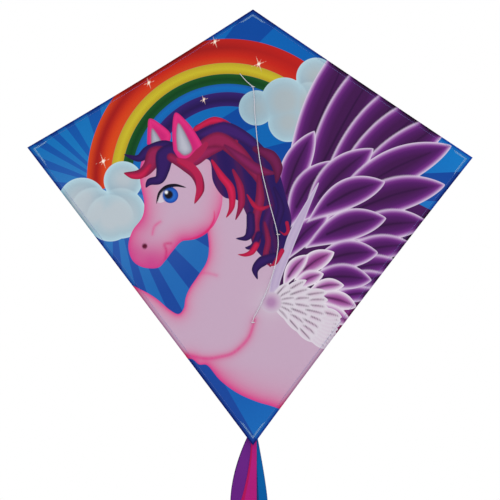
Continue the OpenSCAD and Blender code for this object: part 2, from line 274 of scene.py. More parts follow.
spare_route = smooth([
    [-1.06 * MM, tie_front, UPPER_TIE + 1.06 * MM], [-6 * MM, line_y, UPPER_TIE + 5 * MM],
    [-14 * MM, line_y, UPPER_TIE + 12.5 * MM], [-22.5 * MM, line_y, UPPER_TIE + 22.5 * MM],
], 8)


def overhand(name, middle, size, radius):
    """A trefoil knot pulled tight: (sin t + 2 sin 2t, -1.2 sin 3t, cos t - 2 cos 2t) / 3, times its size."""
    t = np.linspace(0, 2 * np.pi, 96, endpoint=False)
    loop = [np.sin(t) + 2 * np.sin(2 * t), -1.2 * np.sin(3 * t), np.cos(t) - 2 * np.cos(2 * t)]
    return tube(name, middle + np.stack(loop, -1) / 3 * size, radius, braid, sides=10, closed=True)


def belongs(piece, body, node_name):
    """A piece rides on a body and stands for a CAD node, which is hidden."""
    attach(piece, body)
    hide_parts(node_name)


bridle_cord = tube("bridle_cord", bridle_route, LINE_R, braid)
belongs(bridle_cord, "bridle", "bridle_line")
tow_hitch = overhand("tow_hitch", tow, 1.2 * MM, 0.58 * MM)
belongs(tow_hitch, "bridle", "tow_knot")

spare_end = tube("bridle_spare_end", spare_route, LINE_R * np.linspace(1, 0.9, len(spare_route)), braid)
belongs(spare_end, "sail_frame", "bridle_tag")

turn = np.linspace(0, np.pi, 17)
half_round = np.stack([np.cos(turn) * TIE_HALF, np.sin(turn) * TIE_HALF], -1)
through = np.linspace(0, sail_front, 6)[1:-1]
tie_ring = np.concatenate([
    half_round,
    np.stack([np.full(4, -TIE_HALF), through], -1),
    -half_round + [0, sail_front],
    np.stack([np.full(4, TIE_HALF), through[::-1]], -1),
])
for name, height in (("upper", UPPER_TIE), ("lower", LOWER_TIE)):
    ring = np.column_stack([tie_ring, np.full(len(tie_ring), height)])
    wrap = tube("tie_loop_" + name, ring, 0.95 * LINE_R, braid, closed=True)
    knot = overhand("tie_knot_" + name, np.array([0, tie_front, height]), 1.1 * MM, 0.55 * MM)
    for part in (wrap, knot):
        belongs(part, "sail_frame", "bridle_tie_" + name)

# ---- Sail ----
# One diamond of polyester taffeta, coated so that it holds the wind, with the picture printed right through:
# a winged horse in front of a rainbow, clouds and sun rays. It is stretched by the two rods from corner to
# corner, so the upper left and lower right edges pull in a little.

LEAN = math.radians(1.3)                    # the cross spar's slope, left end up
EDGE_HOLLOW = 3 * MM
HEM = 6 * MM
BEND = 8 * MM                               # width over which the cloth bends at the spine
SAIL_CELLS = 312
sail_y_middle = sail_low[1] + 0.2 * MM
sail_y_tip = sail_high[1] - 0.2 * MM
nose = np.array([0, sail_high[2]])
foot = np.array([0, sail_low[2]])
left_tip = np.array([sail_low[0], -sail_low[0] * math.tan(LEAN)])
right_tip = np.array([sail_high[0], -sail_high[0] * math.tan(LEAN)])
SIDES = (
    ("upper_left", nose, left_tip, EDGE_HOLLOW), ("lower_left", left_tip, foot, EDGE_HOLLOW / 4),
    ("lower_right", foot, right_tip, EDGE_HOLLOW), ("upper_right", right_tip, nose, EDGE_HOLLOW / 4),
)


def sail_depth(x):
    """Depth of the cloth: straight from the spine out to each tip, rounded off where it bends at the spine."""
    reach = np.where(x < 0, -sail_low[0], sail_high[0])
    share = np.sqrt(x**2 + BEND**2) - BEND
    return sail_y_middle + (sail_y_tip - sail_y_middle) * np.clip(share / (reach - BEND), 0, 1)


def edge_line(a, b, hollow, t):
    """Points at shares t from a to b, moved towards the crossing by hollow * 4 t (1 - t)."""
    inwards = -(a + b) / np.linalg.norm(a + b)
    return a + (b - a) * t[:, None] + inwards * hollow * 4 * (t * (1 - t))[:, None]


share = np.linspace(0, 1, SAIL_CELLS + 1)
top = edge_line(nose, right_tip, EDGE_HOLLOW / 4, share)
bottom = edge_line(left_tip, foot, EDGE_HOLLOW / 4, share)
left = edge_line(nose, left_tip, EDGE_HOLLOW, share)
right = edge_line(right_tip, foot, EDGE_HOLLOW, share)
u, v = share[None, :, None], share[:, None, None]
flat_sail = (
    (1 - v) * top[None] + v * bottom[None] + (1 - u) * left[:, None] + u * right[:, None]
    - ((1 - u) * (1 - v) * nose + u * (1 - v) * right_tip + (1 - u) * v * left_tip + u * v * foot)
)
print_x = flat_sail[..., 0].ravel() / MM
print_z = flat_sail[..., 1].ravel() / MM
pull = np.sin(print_x * 0.11 + 0.05 * print_z) * np.exp(-np.hypot(print_x, print_z - 244) / 60)
tip_pull = np.exp(-np.hypot(print_x + 386, print_z) / 55) + np.exp(-np.hypot(print_x - 376, print_z) / 55)
pull += np.sin(print_z * 0.13) * tip_pull
sail_grid = np.stack([
    flat_sail[..., 0],
    sail_depth(flat_sail[..., 0]) + 0.15 * MM * pull.reshape(flat_sail.shape[:2]),
    flat_sail[..., 1],
], -1)

# The print is a stack of layers. At each point of the sail a layer holds its ink and how far inside its shapes
# the point lies, in mm; the material cuts each layer sharply along the line where that is nought.
FAR_OUT = -60.0
layers = {}


def lay_ink(layer, depth, ink):
    """Adds one shape to a layer, from how far each point lies inside the shape, in mm, and its ink there.
    Inside what the layer has, a shape covers the earlier ones; outside, the nearest shape gives the ink."""
    blank = (np.full(len(print_x), FAR_OUT), np.zeros((len(print_x), 3)))
    reach, inks = layers.setdefault(layer, blank)
    cover = np.where(reach < 0, depth > reach, np.clip(depth / 2.2 + 0.5, 0, 1))[:, None]
    inks += (np.broadcast_to(ink, inks.shape) - inks) * cover
    np.maximum(reach, depth, out=reach)


def tint(layer, amount, ink):
    """Airbrushes a layer towards an ink by an amount from 0 to 1 at each point."""
    inks = layers[layer][1]
    inks += (colour(ink) - inks) * np.clip(amount, 0, 1)[:, None]


def ramp(value, stops):
    """Colour at each value, straight between stops given as (value, hex colour)."""
    at = [s[0] for s in stops]
    return np.stack([np.interp(value, at, [colour(s[1])[c] for s in stops]) for c in range(3)], -1)


def disc(x, z, radius):
    """Depth inside a round spot."""
    return radius - np.hypot(print_x - x, print_z - z)


def stroke(points, widths):
    """Depth inside a brush stroke along a smooth line, whose half width goes evenly through the widths."""
    line = smooth(points, 8)
    half = np.interp(np.linspace(0, 1, len(line)), np.linspace(0, 1, len(widths)), widths)
    near = np.abs(print_x - line[:, 0].mean()) < np.ptp(line[:, 0]) / 2 + 45
    near &= np.abs(print_z - line[:, 1].mean()) < np.ptp(line[:, 1]) / 2 + 45
    here = np.stack([print_x[near], print_z[near]], -1)[:, None]
    start, step = line[:-1][None], np.diff(line, axis=0)[None]
    t = np.clip(((here - start) * step).sum(-1) / (step**2).sum(-1), 0, 1)
    gap = np.linalg.norm(here - start - step * t[..., None], axis=-1)
    depth = np.full(len(print_x), FAR_OUT)
    depth[near] = (half[:-1] + np.diff(half) * t - gap).max(1)
    return depth


def blob(points):
    """Depth inside a closed smooth outline: the distance to its nearest side, negative outside it."""
    ring = smooth(points + points[:1], 6)
    here = np.stack([print_x, print_z], -1)
    best = np.full(len(here), 1e9)
    inside = np.zeros(len(here), bool)
    for a, b in zip(ring[:-1], ring[1:]):
        step = b - a
        t = np.clip((here - a) @ step / (step @ step + 1e-9), 0, 1)
        best = np.minimum(best, np.hypot(*(here - a - t[:, None] * step).T))
        crosses = (a[1] > here[:, 1]) != (b[1] > here[:, 1])
        rise = step[1] if step[1] else 1e-9
        inside ^= crosses & (here[:, 0] < a[0] + (here[:, 1] - a[1]) * step[0] / rise)
    return np.where(inside, best, -best)


def soft_line(layer, points, widths, soft, amount, ink):
    """Airbrushes a line into a layer; the amount falls as exp(-gap / soft), gap from the stroke's edge."""
    tint(layer, np.exp(-np.abs(stroke(points, widths)) / soft) * amount, ink)


def towards(depth, soft):
    """Share from 1 on a shape's outline down to 0 inside it: exp(-depth / soft)."""
    return np.exp(-np.clip(depth, 0, None) / soft)


# Sky: rays spread from behind the horse's head, and the blue gets purer towards the nose
SUN = (-241, -59)
RAYS = 24
from_sun = np.hypot(print_x - SUN[0], print_z - SUN[1])
bearing = np.arctan2(print_z - SUN[1], print_x - SUN[0])
turns = (bearing / (2 * np.pi) + 0.012 * np.sin(5 * bearing)) * RAYS
lay_ink("sky", np.full(len(print_x), -FAR_OUT),
        ramp(from_sun, [(0, "#3d7dc0"), (180, "#2269b4"), (420, "#155fb2"), (640, "#1f7cca")]))
lay_ink("rays", (np.abs(turns % 1 - 0.5) - 0.27) * 2 * np.pi / RAYS * from_sun,
        ramp(from_sun, [(0, "#3563b4"), (200, "#1b479c"), (600, "#18489f")]))
for layer in ("sky", "rays"):
    layers[layer][1][:, 0] *= np.interp(print_z, [-80, 10], [1.0, 0.25])

# Rainbow: rings about one centre, red outside
BOW = (-43, -47)
bow_r = np.hypot(print_x - BOW[0], print_z - BOW[1])
above_feet = print_z + 60 - 0.35 * (print_x + 250)
for name, outer, inner, stops in (
    ("bow_red", 241, 200, [(200, "#cf431d"), (212, "#c62819"), (226, "#9f1a1a"), (241, "#b9211c")]),
    ("bow_yellow", 200, 181, [(181, "#b69a21"), (190, "#c8b82d"), (200, "#b9a229")]),
    ("bow_green", 181, 164, [(164, "#16502a"), (172, "#0d411c"), (181, "#1b5423")]),
    ("bow_blue", 164, 149, [(149, "#145fae"), (158, "#0f6bb8"), (164, "#1a58a8")]),
    ("bow_violet", 150, 126, [(126, "#33206c"), (136, "#26154f"), (150, "#35216e")]),
):
    lay_ink(name, np.minimum(np.minimum(outer - bow_r, bow_r - inner), above_feet), ramp(bow_r, stops))
tint("bow_red", np.clip((-print_x - 160) / 110, 0, 1) * 0.35 * (1 + np.cos((bow_r - 206) / 6)), "#e0521a")
tint("bow_red", np.clip((print_x + 60) / 120, 0, 1) * 0.6, "#c01f1c")

# Clouds: heaps of round puffs, pale along the outline; a puff in front has a lit top and a faint shade behind it
for cloud, inner in (
    ([(-292, -84, 41), (-222, -48, 33), (-226, -104, 43), (-272, -100, 40), (-244, -112, 40)], "#b9c4cc"),
    ([(6, 76, 30), (108, 128, 34), (96, 84, 36), (60, 52, 34), (54, 88, 40)], "#afbabf"),
):
    whole = np.max([disc(*puff) for puff in cloud], axis=0)
    puff_ink = ramp(whole, [(0, "#bcd9e4"), (3, "#adccd9"), (10, "#a8c0cc"), (26, inner)])
    lay_ink("clouds", whole, puff_ink)
    for x, z, radius in cloud[2:]:
        d = disc(x, z, radius)
        top = np.clip((print_z - z) / radius + 0.15, 0, 1) * np.clip((whole - 3) / 5, 0, 1)
        tint("clouds", top * np.clip(0.5 - d / 2.5, 0, 1) * np.exp(-np.abs(d) / 8) * 0.35, "#879daf")
        lay_ink("clouds", np.minimum(d, whole), puff_ink)
        tint("clouds", top * np.clip(d / 2.5 + 0.5, 0, 1) * np.exp(-np.abs(d) / 6) * 0.55, "#bdd6df")
tint("clouds", np.clip((90 - print_x) / 110, 0, 1) * (print_z > 20) * 0.4, "#7d9fb2")

# Stars: three thin crossed strokes, one of them short, and a bright middle
for x, z, size in ((-256, -15, 15), (-178, 119, 12), (-65, 189, 12), (10, 151, 15), (-84, 90, 9)):
    for angle, length in ((0.35, size), (1.92, size), (1.1, 0.6 * size)):
        dx, dz = math.cos(angle) * length, math.sin(angle) * length
        ray = stroke([(x - dx, z - dz), (x, z), (x + dx, z + dz)], [0.1, 0.9, 0.1])
        lay_ink("stars", ray, colour("#efcdb8"))
    lay_ink("stars", disc(x, z, size * 0.16), colour("#fff3e6"))

# Horse: body, raised foreleg and head, pale with hot pink airbrushed along the outline
PALE, HOT = "#c6a8c1", "#dc3a86"
FOLD_PINK = "#d84a8c"


def pink_form(layer, depth, soft):
    """A pale pink form whose colour turns hot pink towards its outline over a soft distance in mm."""
    lay_ink(layer, depth, colour(PALE) + (colour(HOT) - colour(PALE)) * towards(depth, soft)[:, None])


body = blob([
    (-80, -120), (-75, -160), (-79, -187), (-94, -211), (-108, -232), (-115, -249), (-118, -266), (-127, -276),
    (-142, -269), (-166, -249), (-190, -235), (-215, -226), (-240, -240), (-200, -330), (-150, -355),
    (-108, -352), (-92, -362), (-77, -364), (-56, -389), (-26, -411), (8, -426), (46, -438), (150, -480),
    (300, -330), (215, -240), (120, -180), (60, -100), (10, -30), (-60, -60),
])
pink_form("body", body, 8)
tint("body", 0.75 * towards(body, 20) * np.clip((-print_z - 345) / 30, 0, 1), "#d63a88")
soft_line("body", [(-112, -346), (-81, -352), (-56, -349), (-32, -341), (-8, -317), (3, -286)],
          [0.5, 0.8, 0.8, 0.3], 4.5, 0.85, "#d63584")
soft_line("body", [(-92, -207), (-78, -206), (-62, -210)], [0.4, 0.4], 2.5, 0.5, FOLD_PINK)
head = blob([
    (-150, 18), (-186, -6), (-193, -44), (-186, -84), (-189, -110), (-206, -134), (-213, -160), (-206, -184),
    (-188, -196), (-163, -197), (-150, -185), (-137, -168), (-122, -152), (-102, -147), (-82, -138),
    (-64, -120), (-52, -80), (-60, -20), (-100, 12),
])
lower_left = np.clip((-print_x * 0.6 - print_z - 20) / 120, 0, 1)
pink_form("head", head, 14)
tint("head", (1 - lower_left) * np.clip((print_x + 165) / 50, 0, 1), PALE)
for x, z, size, amount in (
    (-172, -188, 33, 0.85), (-206, -172, 24, 0.6), (-192, -120, 22, 0.3), (-116, -158, 20, 0.6),
    (-84, -144, 18, 0.5),
):
    tint("head", amount * np.exp(-((print_x - x) ** 2 + (print_z - z) ** 2) / size**2), "#c93b89")
soft_line("head", [(-150, -186), (-148, -168), (-151, -157), (-140, -155)], [0.5, 0.8, 0.5], 1.6, 0.8, "#c82a74")
soft_line("head", [(-172, -140), (-168, -126), (-158, -118)], [0.3, 0.8, 0.3], 1.6, 0.7, FOLD_PINK)
jaw = stroke([(-121, -150), (-98, -146), (-78, -134), (-67, -116), (-66, -100)], [0.6, 1.6, 2.2, 1.4, 0.3])
lay_ink("head", jaw, colour("#d8286e"))
lay_ink("head", disc(-185, -160, 4.5), colour("#5a1230"))


def ear(layer, outer, inner):
    """A hot pink ear with its grey-lilac hollow."""
    whole, hollow = blob(outer), blob(inner)
    lay_ink(layer, whole, ramp(whole, [(0, "#c3246e"), (4, "#e0307f"), (12, "#c92574")]))
    lay_ink(layer, hollow, ramp(hollow, [(0, "#7d7d8c"), (3, "#a2a3b4"), (9, "#b9bac8")]))


ear("far_ear", [(-181, 14), (-180, 40), (-177, 58), (-160, 50), (-140, 30), (-152, 8)],
    [(-174, 14), (-173, 40), (-164, 32), (-156, 14)])

# Wing: rows of long feathers, a row of short ones and the soft coverts, each over the last, from the tips
# inwards. Inks run from a feather's rim inwards.
LONG = [(-0.1, "#dccfe2"), (1.4, "#cdb6d6"), (3.6, "#a572b2"), (6.5, "#752e86"), (12, "#541d66"),
        (22, "#43184f")]
ROSY = [(-0.1, "#ece4ee"), (2.5, "#d9c6dc"), (7, "#b06cae"), (12, "#8c3c84")]
WHITE = [(-0.1, "#dcd6e0"), (4, "#d6c9d8"), (9, "#cfa9c6")]
SHOULDER = (31, -256)


def feather(layer, root, tip, half_width, bend, shades, shaft="#2a0e38", fine=1.0):
    """A feather with a glowing rim and, from a third of its length to near its tip, a thin dark shaft.
    Its half width is 4.02 W * s ** 1.2 * (1 - s) ** 0.85 at share s of its length, about an axis bowed
    sideways by bend * 4 s (1 - s)."""
    root, tip = np.array(root, float), np.array(tip, float)
    length = np.linalg.norm(tip - root)
    axis = (tip - root) / length
    across = np.array([-axis[1], axis[0]])
    here = np.stack([print_x, print_z], -1) - root
    s = here @ axis / length
    t = np.clip(s, 0, 1)
    half = half_width * 4.02 * t**1.2 * (1 - t) ** 0.85
    depth = (half - np.abs(here @ across - bend * 4 * t * (1 - t))) * 0.92 - np.abs(s - t) * length
    lay_ink(layer, depth, ramp(depth, shades))
    line = [root + (tip - root) * at + across * bend * 4 * at * (1 - at) for at in (0.3, 0.6, 0.86)]
    ink_share = stroke(line, [1.6 * fine, 1.1 * fine, 0.3]) / (2.4 * fine) + 0.6
    tint(layer, np.clip(ink_share, 0, 1) * 0.8, shaft)


under_wing = blob([(40, -240), (56, -150), (100, -60), (180, -20), (250, -70), (345, -128), (330, -200),
                   (230, -300), (150, -310), (90, -285)])
lay_ink("under_wing", under_wing,
        ramp(print_z, [(-310, "#a23680"), (-262, "#7a2a78"), (-235, "#3d1547"), (-100, "#4a1a5a")]))
for layer, shades, row in (
    ("feathers_far", LONG, (
        ((50, -120), (180, 210), 36, 5), ((78, -110), (243, 190), 38, 10), ((100, -110), (290, 135), 34, 10),
        ((112, -105), (336, 104), 36, 12), ((120, -125), (346, 66), 32, 10),
    )),
    ("feathers_mid", LONG, (
        ((48, -120), (105, 37), 24, 10), ((60, -135), (136, -14), 24, 12), ((85, -125), (206, 7), 27, 14),
        ((110, -120), (340, 12), 33, 16), ((120, -130), (329, -55), 30, 14), ((140, -150), (300, -120), 26, 10),
        ((130, -190), (274, -158), 22, 9), ((130, -212), (252, -190), 18, 7), ((125, -236), (234, -214), 16, 6),
        ((118, -256), (214, -240), 14, 5),
    )),
    ("feathers_near", LONG, (
        ((52, -190), (128, -109), 19, 10), ((92, -120), (226, -50), 25, 12), ((88, -165), (228, -112), 26, 12),
        ((90, -200), (214, -171), 24, 10), ((86, -222), (203, -218), 22, 8),
    )),
    ("feathers_short", ROSY, (
        ((70, -220), (139, -170), 17, 7), ((52, -232), (94, -175), 13, 6), ((66, -238), (121, -207), 13, 6),
        ((92, -240), (156, -227), 12, 6), ((100, -246), (177, -264), 15, 5), ((90, -260), (168, -292), 15, 3),
    )),
):
    for root, tip, half, bend in row:
        feather(layer, root, tip, half, bend, shades)
bone = stroke([(33, -250), (40, -215), (56, -172), (76, -125), (94, -88), (112, -52)], [7, 8, 8.5, 7.5, 4.5, 0.8])
lay_ink("coverts", bone, ramp(bone, [(0, "#cfc3da"), (2.5, "#b7a4c8"), (7, "#c0aecd")]))
for reach, count, low, high, half in (
    (124, 9, -40, -12, 9.5), (98, 8, -44, 10, 8.5), (72, 7, -46, 32, 7.5), (46, 6, -46, 48, 6.5),
):
    for angle in np.radians(np.linspace(low, high, count)):
        way = np.array([np.cos(angle), np.sin(angle)])
        root, tip = SHOULDER + (reach - 54) * way, SHOULDER + reach * way
        feather("coverts", root, tip, half, 2, WHITE, "#241030", 0.7)
joint = disc(*SHOULDER, 18)
lay_ink("coverts", joint, ramp(joint, [(0, "#cbbccd"), (6, "#c4a8c4"), (13, "#b084b0")]))
tint("body", towards(-joint, 12) * 0.6, "#cdbccd")

# Mane: a dark violet mass with crimson and red locks brushed over it, each darker along its edges
VIOLET, CRIMSON, RED, BRIGHT = "#311a5c", "#8c204e", "#cc2050", "#c01f4c"
mane = blob([
    (-150, 16), (-128, -4), (-100, -12), (-74, -14), (-68, -50), (-50, -76), (-26, -82), (-12, -104), (-6, -130),
    (0, -158), (20, -182), (42, -190), (58, -146), (66, -116), (56, -74), (46, -38), (34, -8), (6, 10),
    (-28, 40), (-66, 54), (-98, 46), (-110, 26),
])
hair = np.sin(print_x * 0.16 + 0.03 * print_z)
lay_ink("mane", mane, ramp(hair, [(-1, "#28175a"), (0.4, VIOLET), (1, "#471a54")]))
for path, widths, ink in (
    ([(-98, 40), (-66, 55), (-37, 42), (-26, 14)], [4, 6, 5, 0.5], RED),
    ([(-88, 30), (-50, 40), (-12, 24), (24, -6)], [6, 13, 10, 6], "#3a1d64"),
    ([(-92, 8), (-60, 22), (-28, 2), (0, -30), (14, -60)], [8, 13, 13, 9, 1], CRIMSON),
    ([(-132, -2), (-104, -14), (-80, 0), (-50, 8)], [8, 10, 10, 2], "#8c2052"),
    ([(-48, 12), (-20, -10), (10, -30), (38, -36)], [2, 8, 9, 1], "#7c1f55"),
    ([(4, 6), (30, -6), (42, -26), (40, -52)], [5, 10, 9, 1], "#6a1c4c"),
    ([(-70, -14), (-54, -40), (-38, -62), (-36, -92), (-46, -112)], [2, 6, 7, 5, 0.4], RED),
    ([(-34, -30), (-22, -58), (-20, -88), (-30, -116)], [2, 6, 6, 0.4], "#a01f50"),
    ([(10, -40), (12, -80), (4, -120), (6, -152), (-6, -172)], [3, 8, 7, 7, 1], CRIMSON),
    ([(22, -50), (30, -90), (22, -130), (34, -180)], [2, 7, 7, 1], "#4a1c60"),
    ([(-10, -72), (2, -90), (14, -96), (32, -90)], [1, 4, 4, 0.4], BRIGHT),
    ([(36, -60), (48, -94), (40, -128), (46, -150)], [2, 6, 6, 1], VIOLET),
    ([(20, -120), (26, -150), (22, -176), (30, -196)], [2, 5, 5, 0.5], "#8c2050"),
    ([(-4, -108), (-4, -134), (-12, -146), (-30, -147)], [7, 8, 5, 0.3], VIOLET),
    ([(10, -140), (2, -158), (-8, -163), (-14, -162)], [6, 5, 3, 0.3], "#33185c"),
    ([(6, -158), (-2, -170), (-14, -175), (-27, -174)], [5, 5, 3, 0.3], RED),
    ([(38, -178), (16, -186), (4, -200), (8, -217)], [7, 9, 6, 0.3], VIOLET),
    ([(50, -168), (40, -186), (34, -192), (24, -192)], [4, 4, 2, 0.3], RED),
    ([(58, -120), (60, -134), (54, -140), (46, -134)], [3, 3, 2, 0.3], BRIGHT),
    ([(-120, -6), (-150, 8), (-178, 2), (-196, -10), (-221, -3)], [12, 13, 10, 6, 0.4], VIOLET),
    ([(-146, 0), (-168, -2), (-176, -22), (-192, -36), (-221, -35)], [9, 12, 11, 8, 0.4], CRIMSON),
    ([(-176, -22), (-190, -38), (-206, -40), (-221, -35)], [3, 6, 5, 0.4], "#c62050"),
    ([(-132, 2), (-150, -6), (-154, -30), (-160, -46), (-176, -50), (-183, -60)], [14, 16, 11, 8, 6, 0.4], VIOLET),
    ([(-140, -8), (-114, -24), (-96, -40), (-90, -64), (-100, -88)], [7, 9, 9, 7, 0.4], CRIMSON),
    ([(-128, -16), (-104, -30), (-92, -48), (-90, -68), (-100, -88)], [2, 4, 5, 4, 0.3], RED),
):
    lock = stroke(path, widths)
    lay_ink("locks", lock, colour(ink) * (0.62 + 0.5 * np.clip(lock / 7, 0, 1)[:, None]))

ear("near_ear", [(-136, 4), (-138, 36), (-133, 68), (-114, 54), (-97, 32), (-86, 6), (-108, -12), (-126, -10)],
    [(-129, 4), (-131, 30), (-127, 50), (-113, 28), (-104, 4), (-117, -5)])
lay_ink("forelock", stroke([(-131, -10), (-110, -15), (-92, 0), (-80, 14)], [1, 6, 7, 4]), colour("#a3204f"))
lay_ink("forelock", stroke([(-128, -12), (-108, -22), (-94, -38), (-92, -60), (-100, -86)], [2, 6, 6, 5, 0.3]),
        colour("#b3214f"))

# Eye under its dark lid
iris = disc(-141, -73, 13.5)
lay_ink("eye", blob([(-163, -86), (-152, -84), (-142, -70), (-150, -62), (-159, -72)]), colour("#d3c6d4"))
lay_ink("eye", iris, ramp(iris, [(0, "#123f96"), (3, "#2158b8"), (7, "#2a6ac8")]))
lay_ink("eye", disc(-144, -72, 7.5), colour("#171420"))
lay_ink("eye", disc(-148, -68, 2.6), colour("#ffffff"))
lid = stroke([(-165, -88), (-160, -70), (-148, -59), (-132, -56), (-114, -60)], [0.4, 2.4, 3.2, 2.6, 0.6])
lay_ink("eye", lid, colour("#141020"))


def plain_weave(tree, pitch, depth):
    """Plain weave on the piece's own x and z, as the product of two waves a pitch long, over-under in turn, on
    cloth that swells softly every 60 mm or so. Gives the weave, the bump and the swell."""
    place = add(tree, "ShaderNodeTexCoord")
    part = add(tree, "ShaderNodeSeparateXYZ", [(0, place.outputs["Object"])])
    waves = [ripple(tree, part.outputs[axis], pitch) for axis in ("X", "Z")]
    cells = add(tree, "ShaderNodeMath", [(0, waves[0]), (1, waves[1])], operation="MULTIPLY")
    creases = add(tree, "ShaderNodeTexNoise", [("Vector", place.outputs["Object"]), ("Scale", 1 / (62.5 * MM)),
                                               ("Detail", 3.0)])
    swell = add(tree, "ShaderNodeBump", [("Strength", 0.25), ("Distance", 2.0 * MM),
                                         ("Height", creases.outputs[0])])
    bump = add(tree, "ShaderNodeBump", [("Strength", 0.35), ("Distance", depth), ("Height", cells.outputs[0]),
                                        ("Normal", swell.outputs[0])])
    return cells.outputs[0], bump.outputs[0], creases.outputs[0]


# Polyester taffeta, printed through and lightly coated: clear, deep colours with a broad, dull shine and no
# glitter. Its threads of 0.15 mm make a close plain weave, drawn at 1 mm so that it just shows, with a painted
# shade between the raised threads. Along an edge the cloth lies double, and painted shade darkens the print
# there, most near the edge where it rolls back.
taffeta, tree, shader = new_material("printed_polyester_taffeta")
cells, bump, _ = plain_weave(tree, 1.0 * MM, 0.08 * MM)
picture = add(tree, "ShaderNodeAttribute", attribute_name="print_sky").outputs["Color"]
for name in list(layers)[1:]:
    ink = add(tree, "ShaderNodeAttribute", attribute_name="print_" + name)
    cover = add(tree, "ShaderNodeMapRange", [(0, ink.outputs["Alpha"]), (1, -0.35), (2, 0.35)])
    picture = add(tree, "ShaderNodeMix", [(0, cover.outputs[0]), (6, picture), (7, ink.outputs["Color"])],
                  data_type="RGBA").outputs[2]
# Painted shade along the hem: the print is darkened most near the edge, where the cloth rolls back, and not past 6
# mm in.
edge_gap = add(tree, "ShaderNodeAttribute", attribute_name="from_edge").outputs["Fac"]
rolled_hem_shade = add(tree, "ShaderNodeMapRange", [(0, edge_gap), (1, 1.2), (2, 4.2), (3, 0.95), (4, 0.3)])
lapped = add(tree, "ShaderNodeMapRange", [(0, edge_gap), (1, 5.6), (2, 6.2), (3, 1.0), (4, 0.0)])
hem_shade = add(tree, "ShaderNodeMath", [(0, rolled_hem_shade.outputs[0]), (1, lapped.outputs[0])], operation="MULTIPLY")
picture = add(tree, "ShaderNodeMix", [(0, hem_shade.outputs[0]), (6, picture), (7, picture)],
              data_type="RGBA", blend_type="MULTIPLY").outputs[2]
# Painted shade of the weave: a little lighter on the raised threads and darker between them.
weave_shade = add(tree, "ShaderNodeMapRange", [(0, cells), (1, -1.0), (2, 1.0), (3, 0.96), (4, 1.03)])
toned = add(tree, "ShaderNodeMix", [(0, 1.0), (6, picture), (7, weave_shade.outputs[0])],
            data_type="RGBA", blend_type="MULTIPLY")
feed(tree, shader, [("Base Color", toned.outputs[2]), ("Normal", bump), ("Roughness", 0.7),
                    ("Sheen Weight", 0.02), ("Specular IOR Level", 0.08)])


def edge_distance(x, z):
    """Distance in mm in from the nearest of the four edges, taken from corner to corner less their hollow."""
    near = np.full(np.shape(x), 1e9)
    for _, a, b, hollow in SIDES:
        a, b = a / MM, b / MM
        axis = (b - a) / np.linalg.norm(b - a)
        t = np.clip(((x - a[0]) * axis[0] + (z - a[1]) * axis[1]) / np.linalg.norm(b - a), 0, 1)
        near = np.minimum(near, (axis[0] * (z - a[1]) - axis[1] * (x - a[0])) - hollow / MM * 4 * t * (1 - t))
    return near


def store(piece, name, kind, field, values):
    """Stores one value or colour at each of a piece's points."""
    made = piece.data.attributes.new(name, kind, "POINT")
    made.data.foreach_set(field, values.astype(np.float32).ravel())


def carry_print(piece, which, from_edge):
    """Stores the print at a piece's points, taken from the sail's points by number, and how far in they lie."""
    for name, (reach, inks) in layers.items():
        store(piece, "print_" + name, "FLOAT_COLOR", "color", np.column_stack([inks[which], reach[which]]))
    store(piece, "from_edge", "FLOAT", "value", from_edge)


def on_sail(piece, node_name):
    """A piece of the sail rides with the frame and stands for a CAD node, with a mesh of its own."""
    belongs(piece, "sail_frame", node_name)
    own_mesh(piece)


sail = surface("sail_cloth", sail_grid, taffeta)
carry_print(sail, slice(None), edge_distance(print_x, print_z))
on_sail(sail, "sail")

# ---- Hem and its stitching ----
# The edges are turned over 6 mm to the back, so the cloth lies double there, and sewn down with one row of
# polyester thread; painted shade darkens the print along them. The fold shows the print again, from its other side.

HEM_LAP = np.array([0.9, 0.3, -0.15, -0.2, -0.05, 0.4, 2.0, 4.0, 5.4, 5.9]) * MM           # in from the edge
HEM_RISE = np.array([-0.02, -0.16, -0.12, 0.06, 0.28, 0.38, 0.40, 0.38, 0.34, 0.05]) * MM  # behind the cloth
CORNERS = np.array([nose, left_tip, foot, right_tip])


def along_side(a, b, hollow, inset, t):
    """Points at shares t of a side, moved inset into the sail. The line is shortened to meet its neighbours at
    the corners: inset / tan(half the corner's angle) at each end."""
    length = np.linalg.norm(b - a)
    axis = (b - a) / length
    inwards = -(a + b) / np.linalg.norm(a + b)
    square = inwards - axis * (inwards @ axis)
    square /= np.linalg.norm(square)
    short = []
    for corner, way in ((a, axis), (b, -axis)):
        other = CORNERS[(CORNERS - corner).any(1)]
        other = other[np.argsort([abs(c[0] + corner[0]) + abs(c[1] + corner[1]) for c in other])][1:]
        turn = max(math.acos(np.clip((c - corner) @ way / np.linalg.norm(c - corner), -1, 1)) for c in other)
        short.append(inset / math.tan(turn / 2))
    s = (short[0] + t * (length - short[0] - short[1])) / length
    return edge_line(a, b, hollow, s) + square * inset


def print_place(p):
    """Numbers of the sail's points nearest to points (n, 2), found on a coarse grid of the sail and refined."""
    index = np.arange(len(print_x)).reshape(SAIL_CELLS + 1, -1)
    coarse = index[::8, ::8].ravel()
    xz = np.stack([print_x, print_z], -1) * MM
    best = coarse[np.argmin(((p[:, None] - xz[coarse][None]) ** 2).sum(-1), 1)]
    row, col = best // (SAIL_CELLS + 1), best % (SAIL_CELLS + 1)
    step = np.arange(-8, 9)
    rows = np.clip(row[:, None, None] + step[:, None], 0, SAIL_CELLS)
    cols = np.clip(col[:, None, None] + step[None, :], 0, SAIL_CELLS)
    near = (rows * (SAIL_CELLS + 1) + cols).reshape(len(p), -1)
    return near[np.arange(len(p)), np.argmin(((p[:, None] - xz[near]) ** 2).sum(-1), 1)]


def behind(p, rise):
    """Points (.., 2) of the face set at a depth behind the cloth."""
    return np.stack([p[..., 0], sail_depth(p[..., 0]) + rise, p[..., 1]], -1)


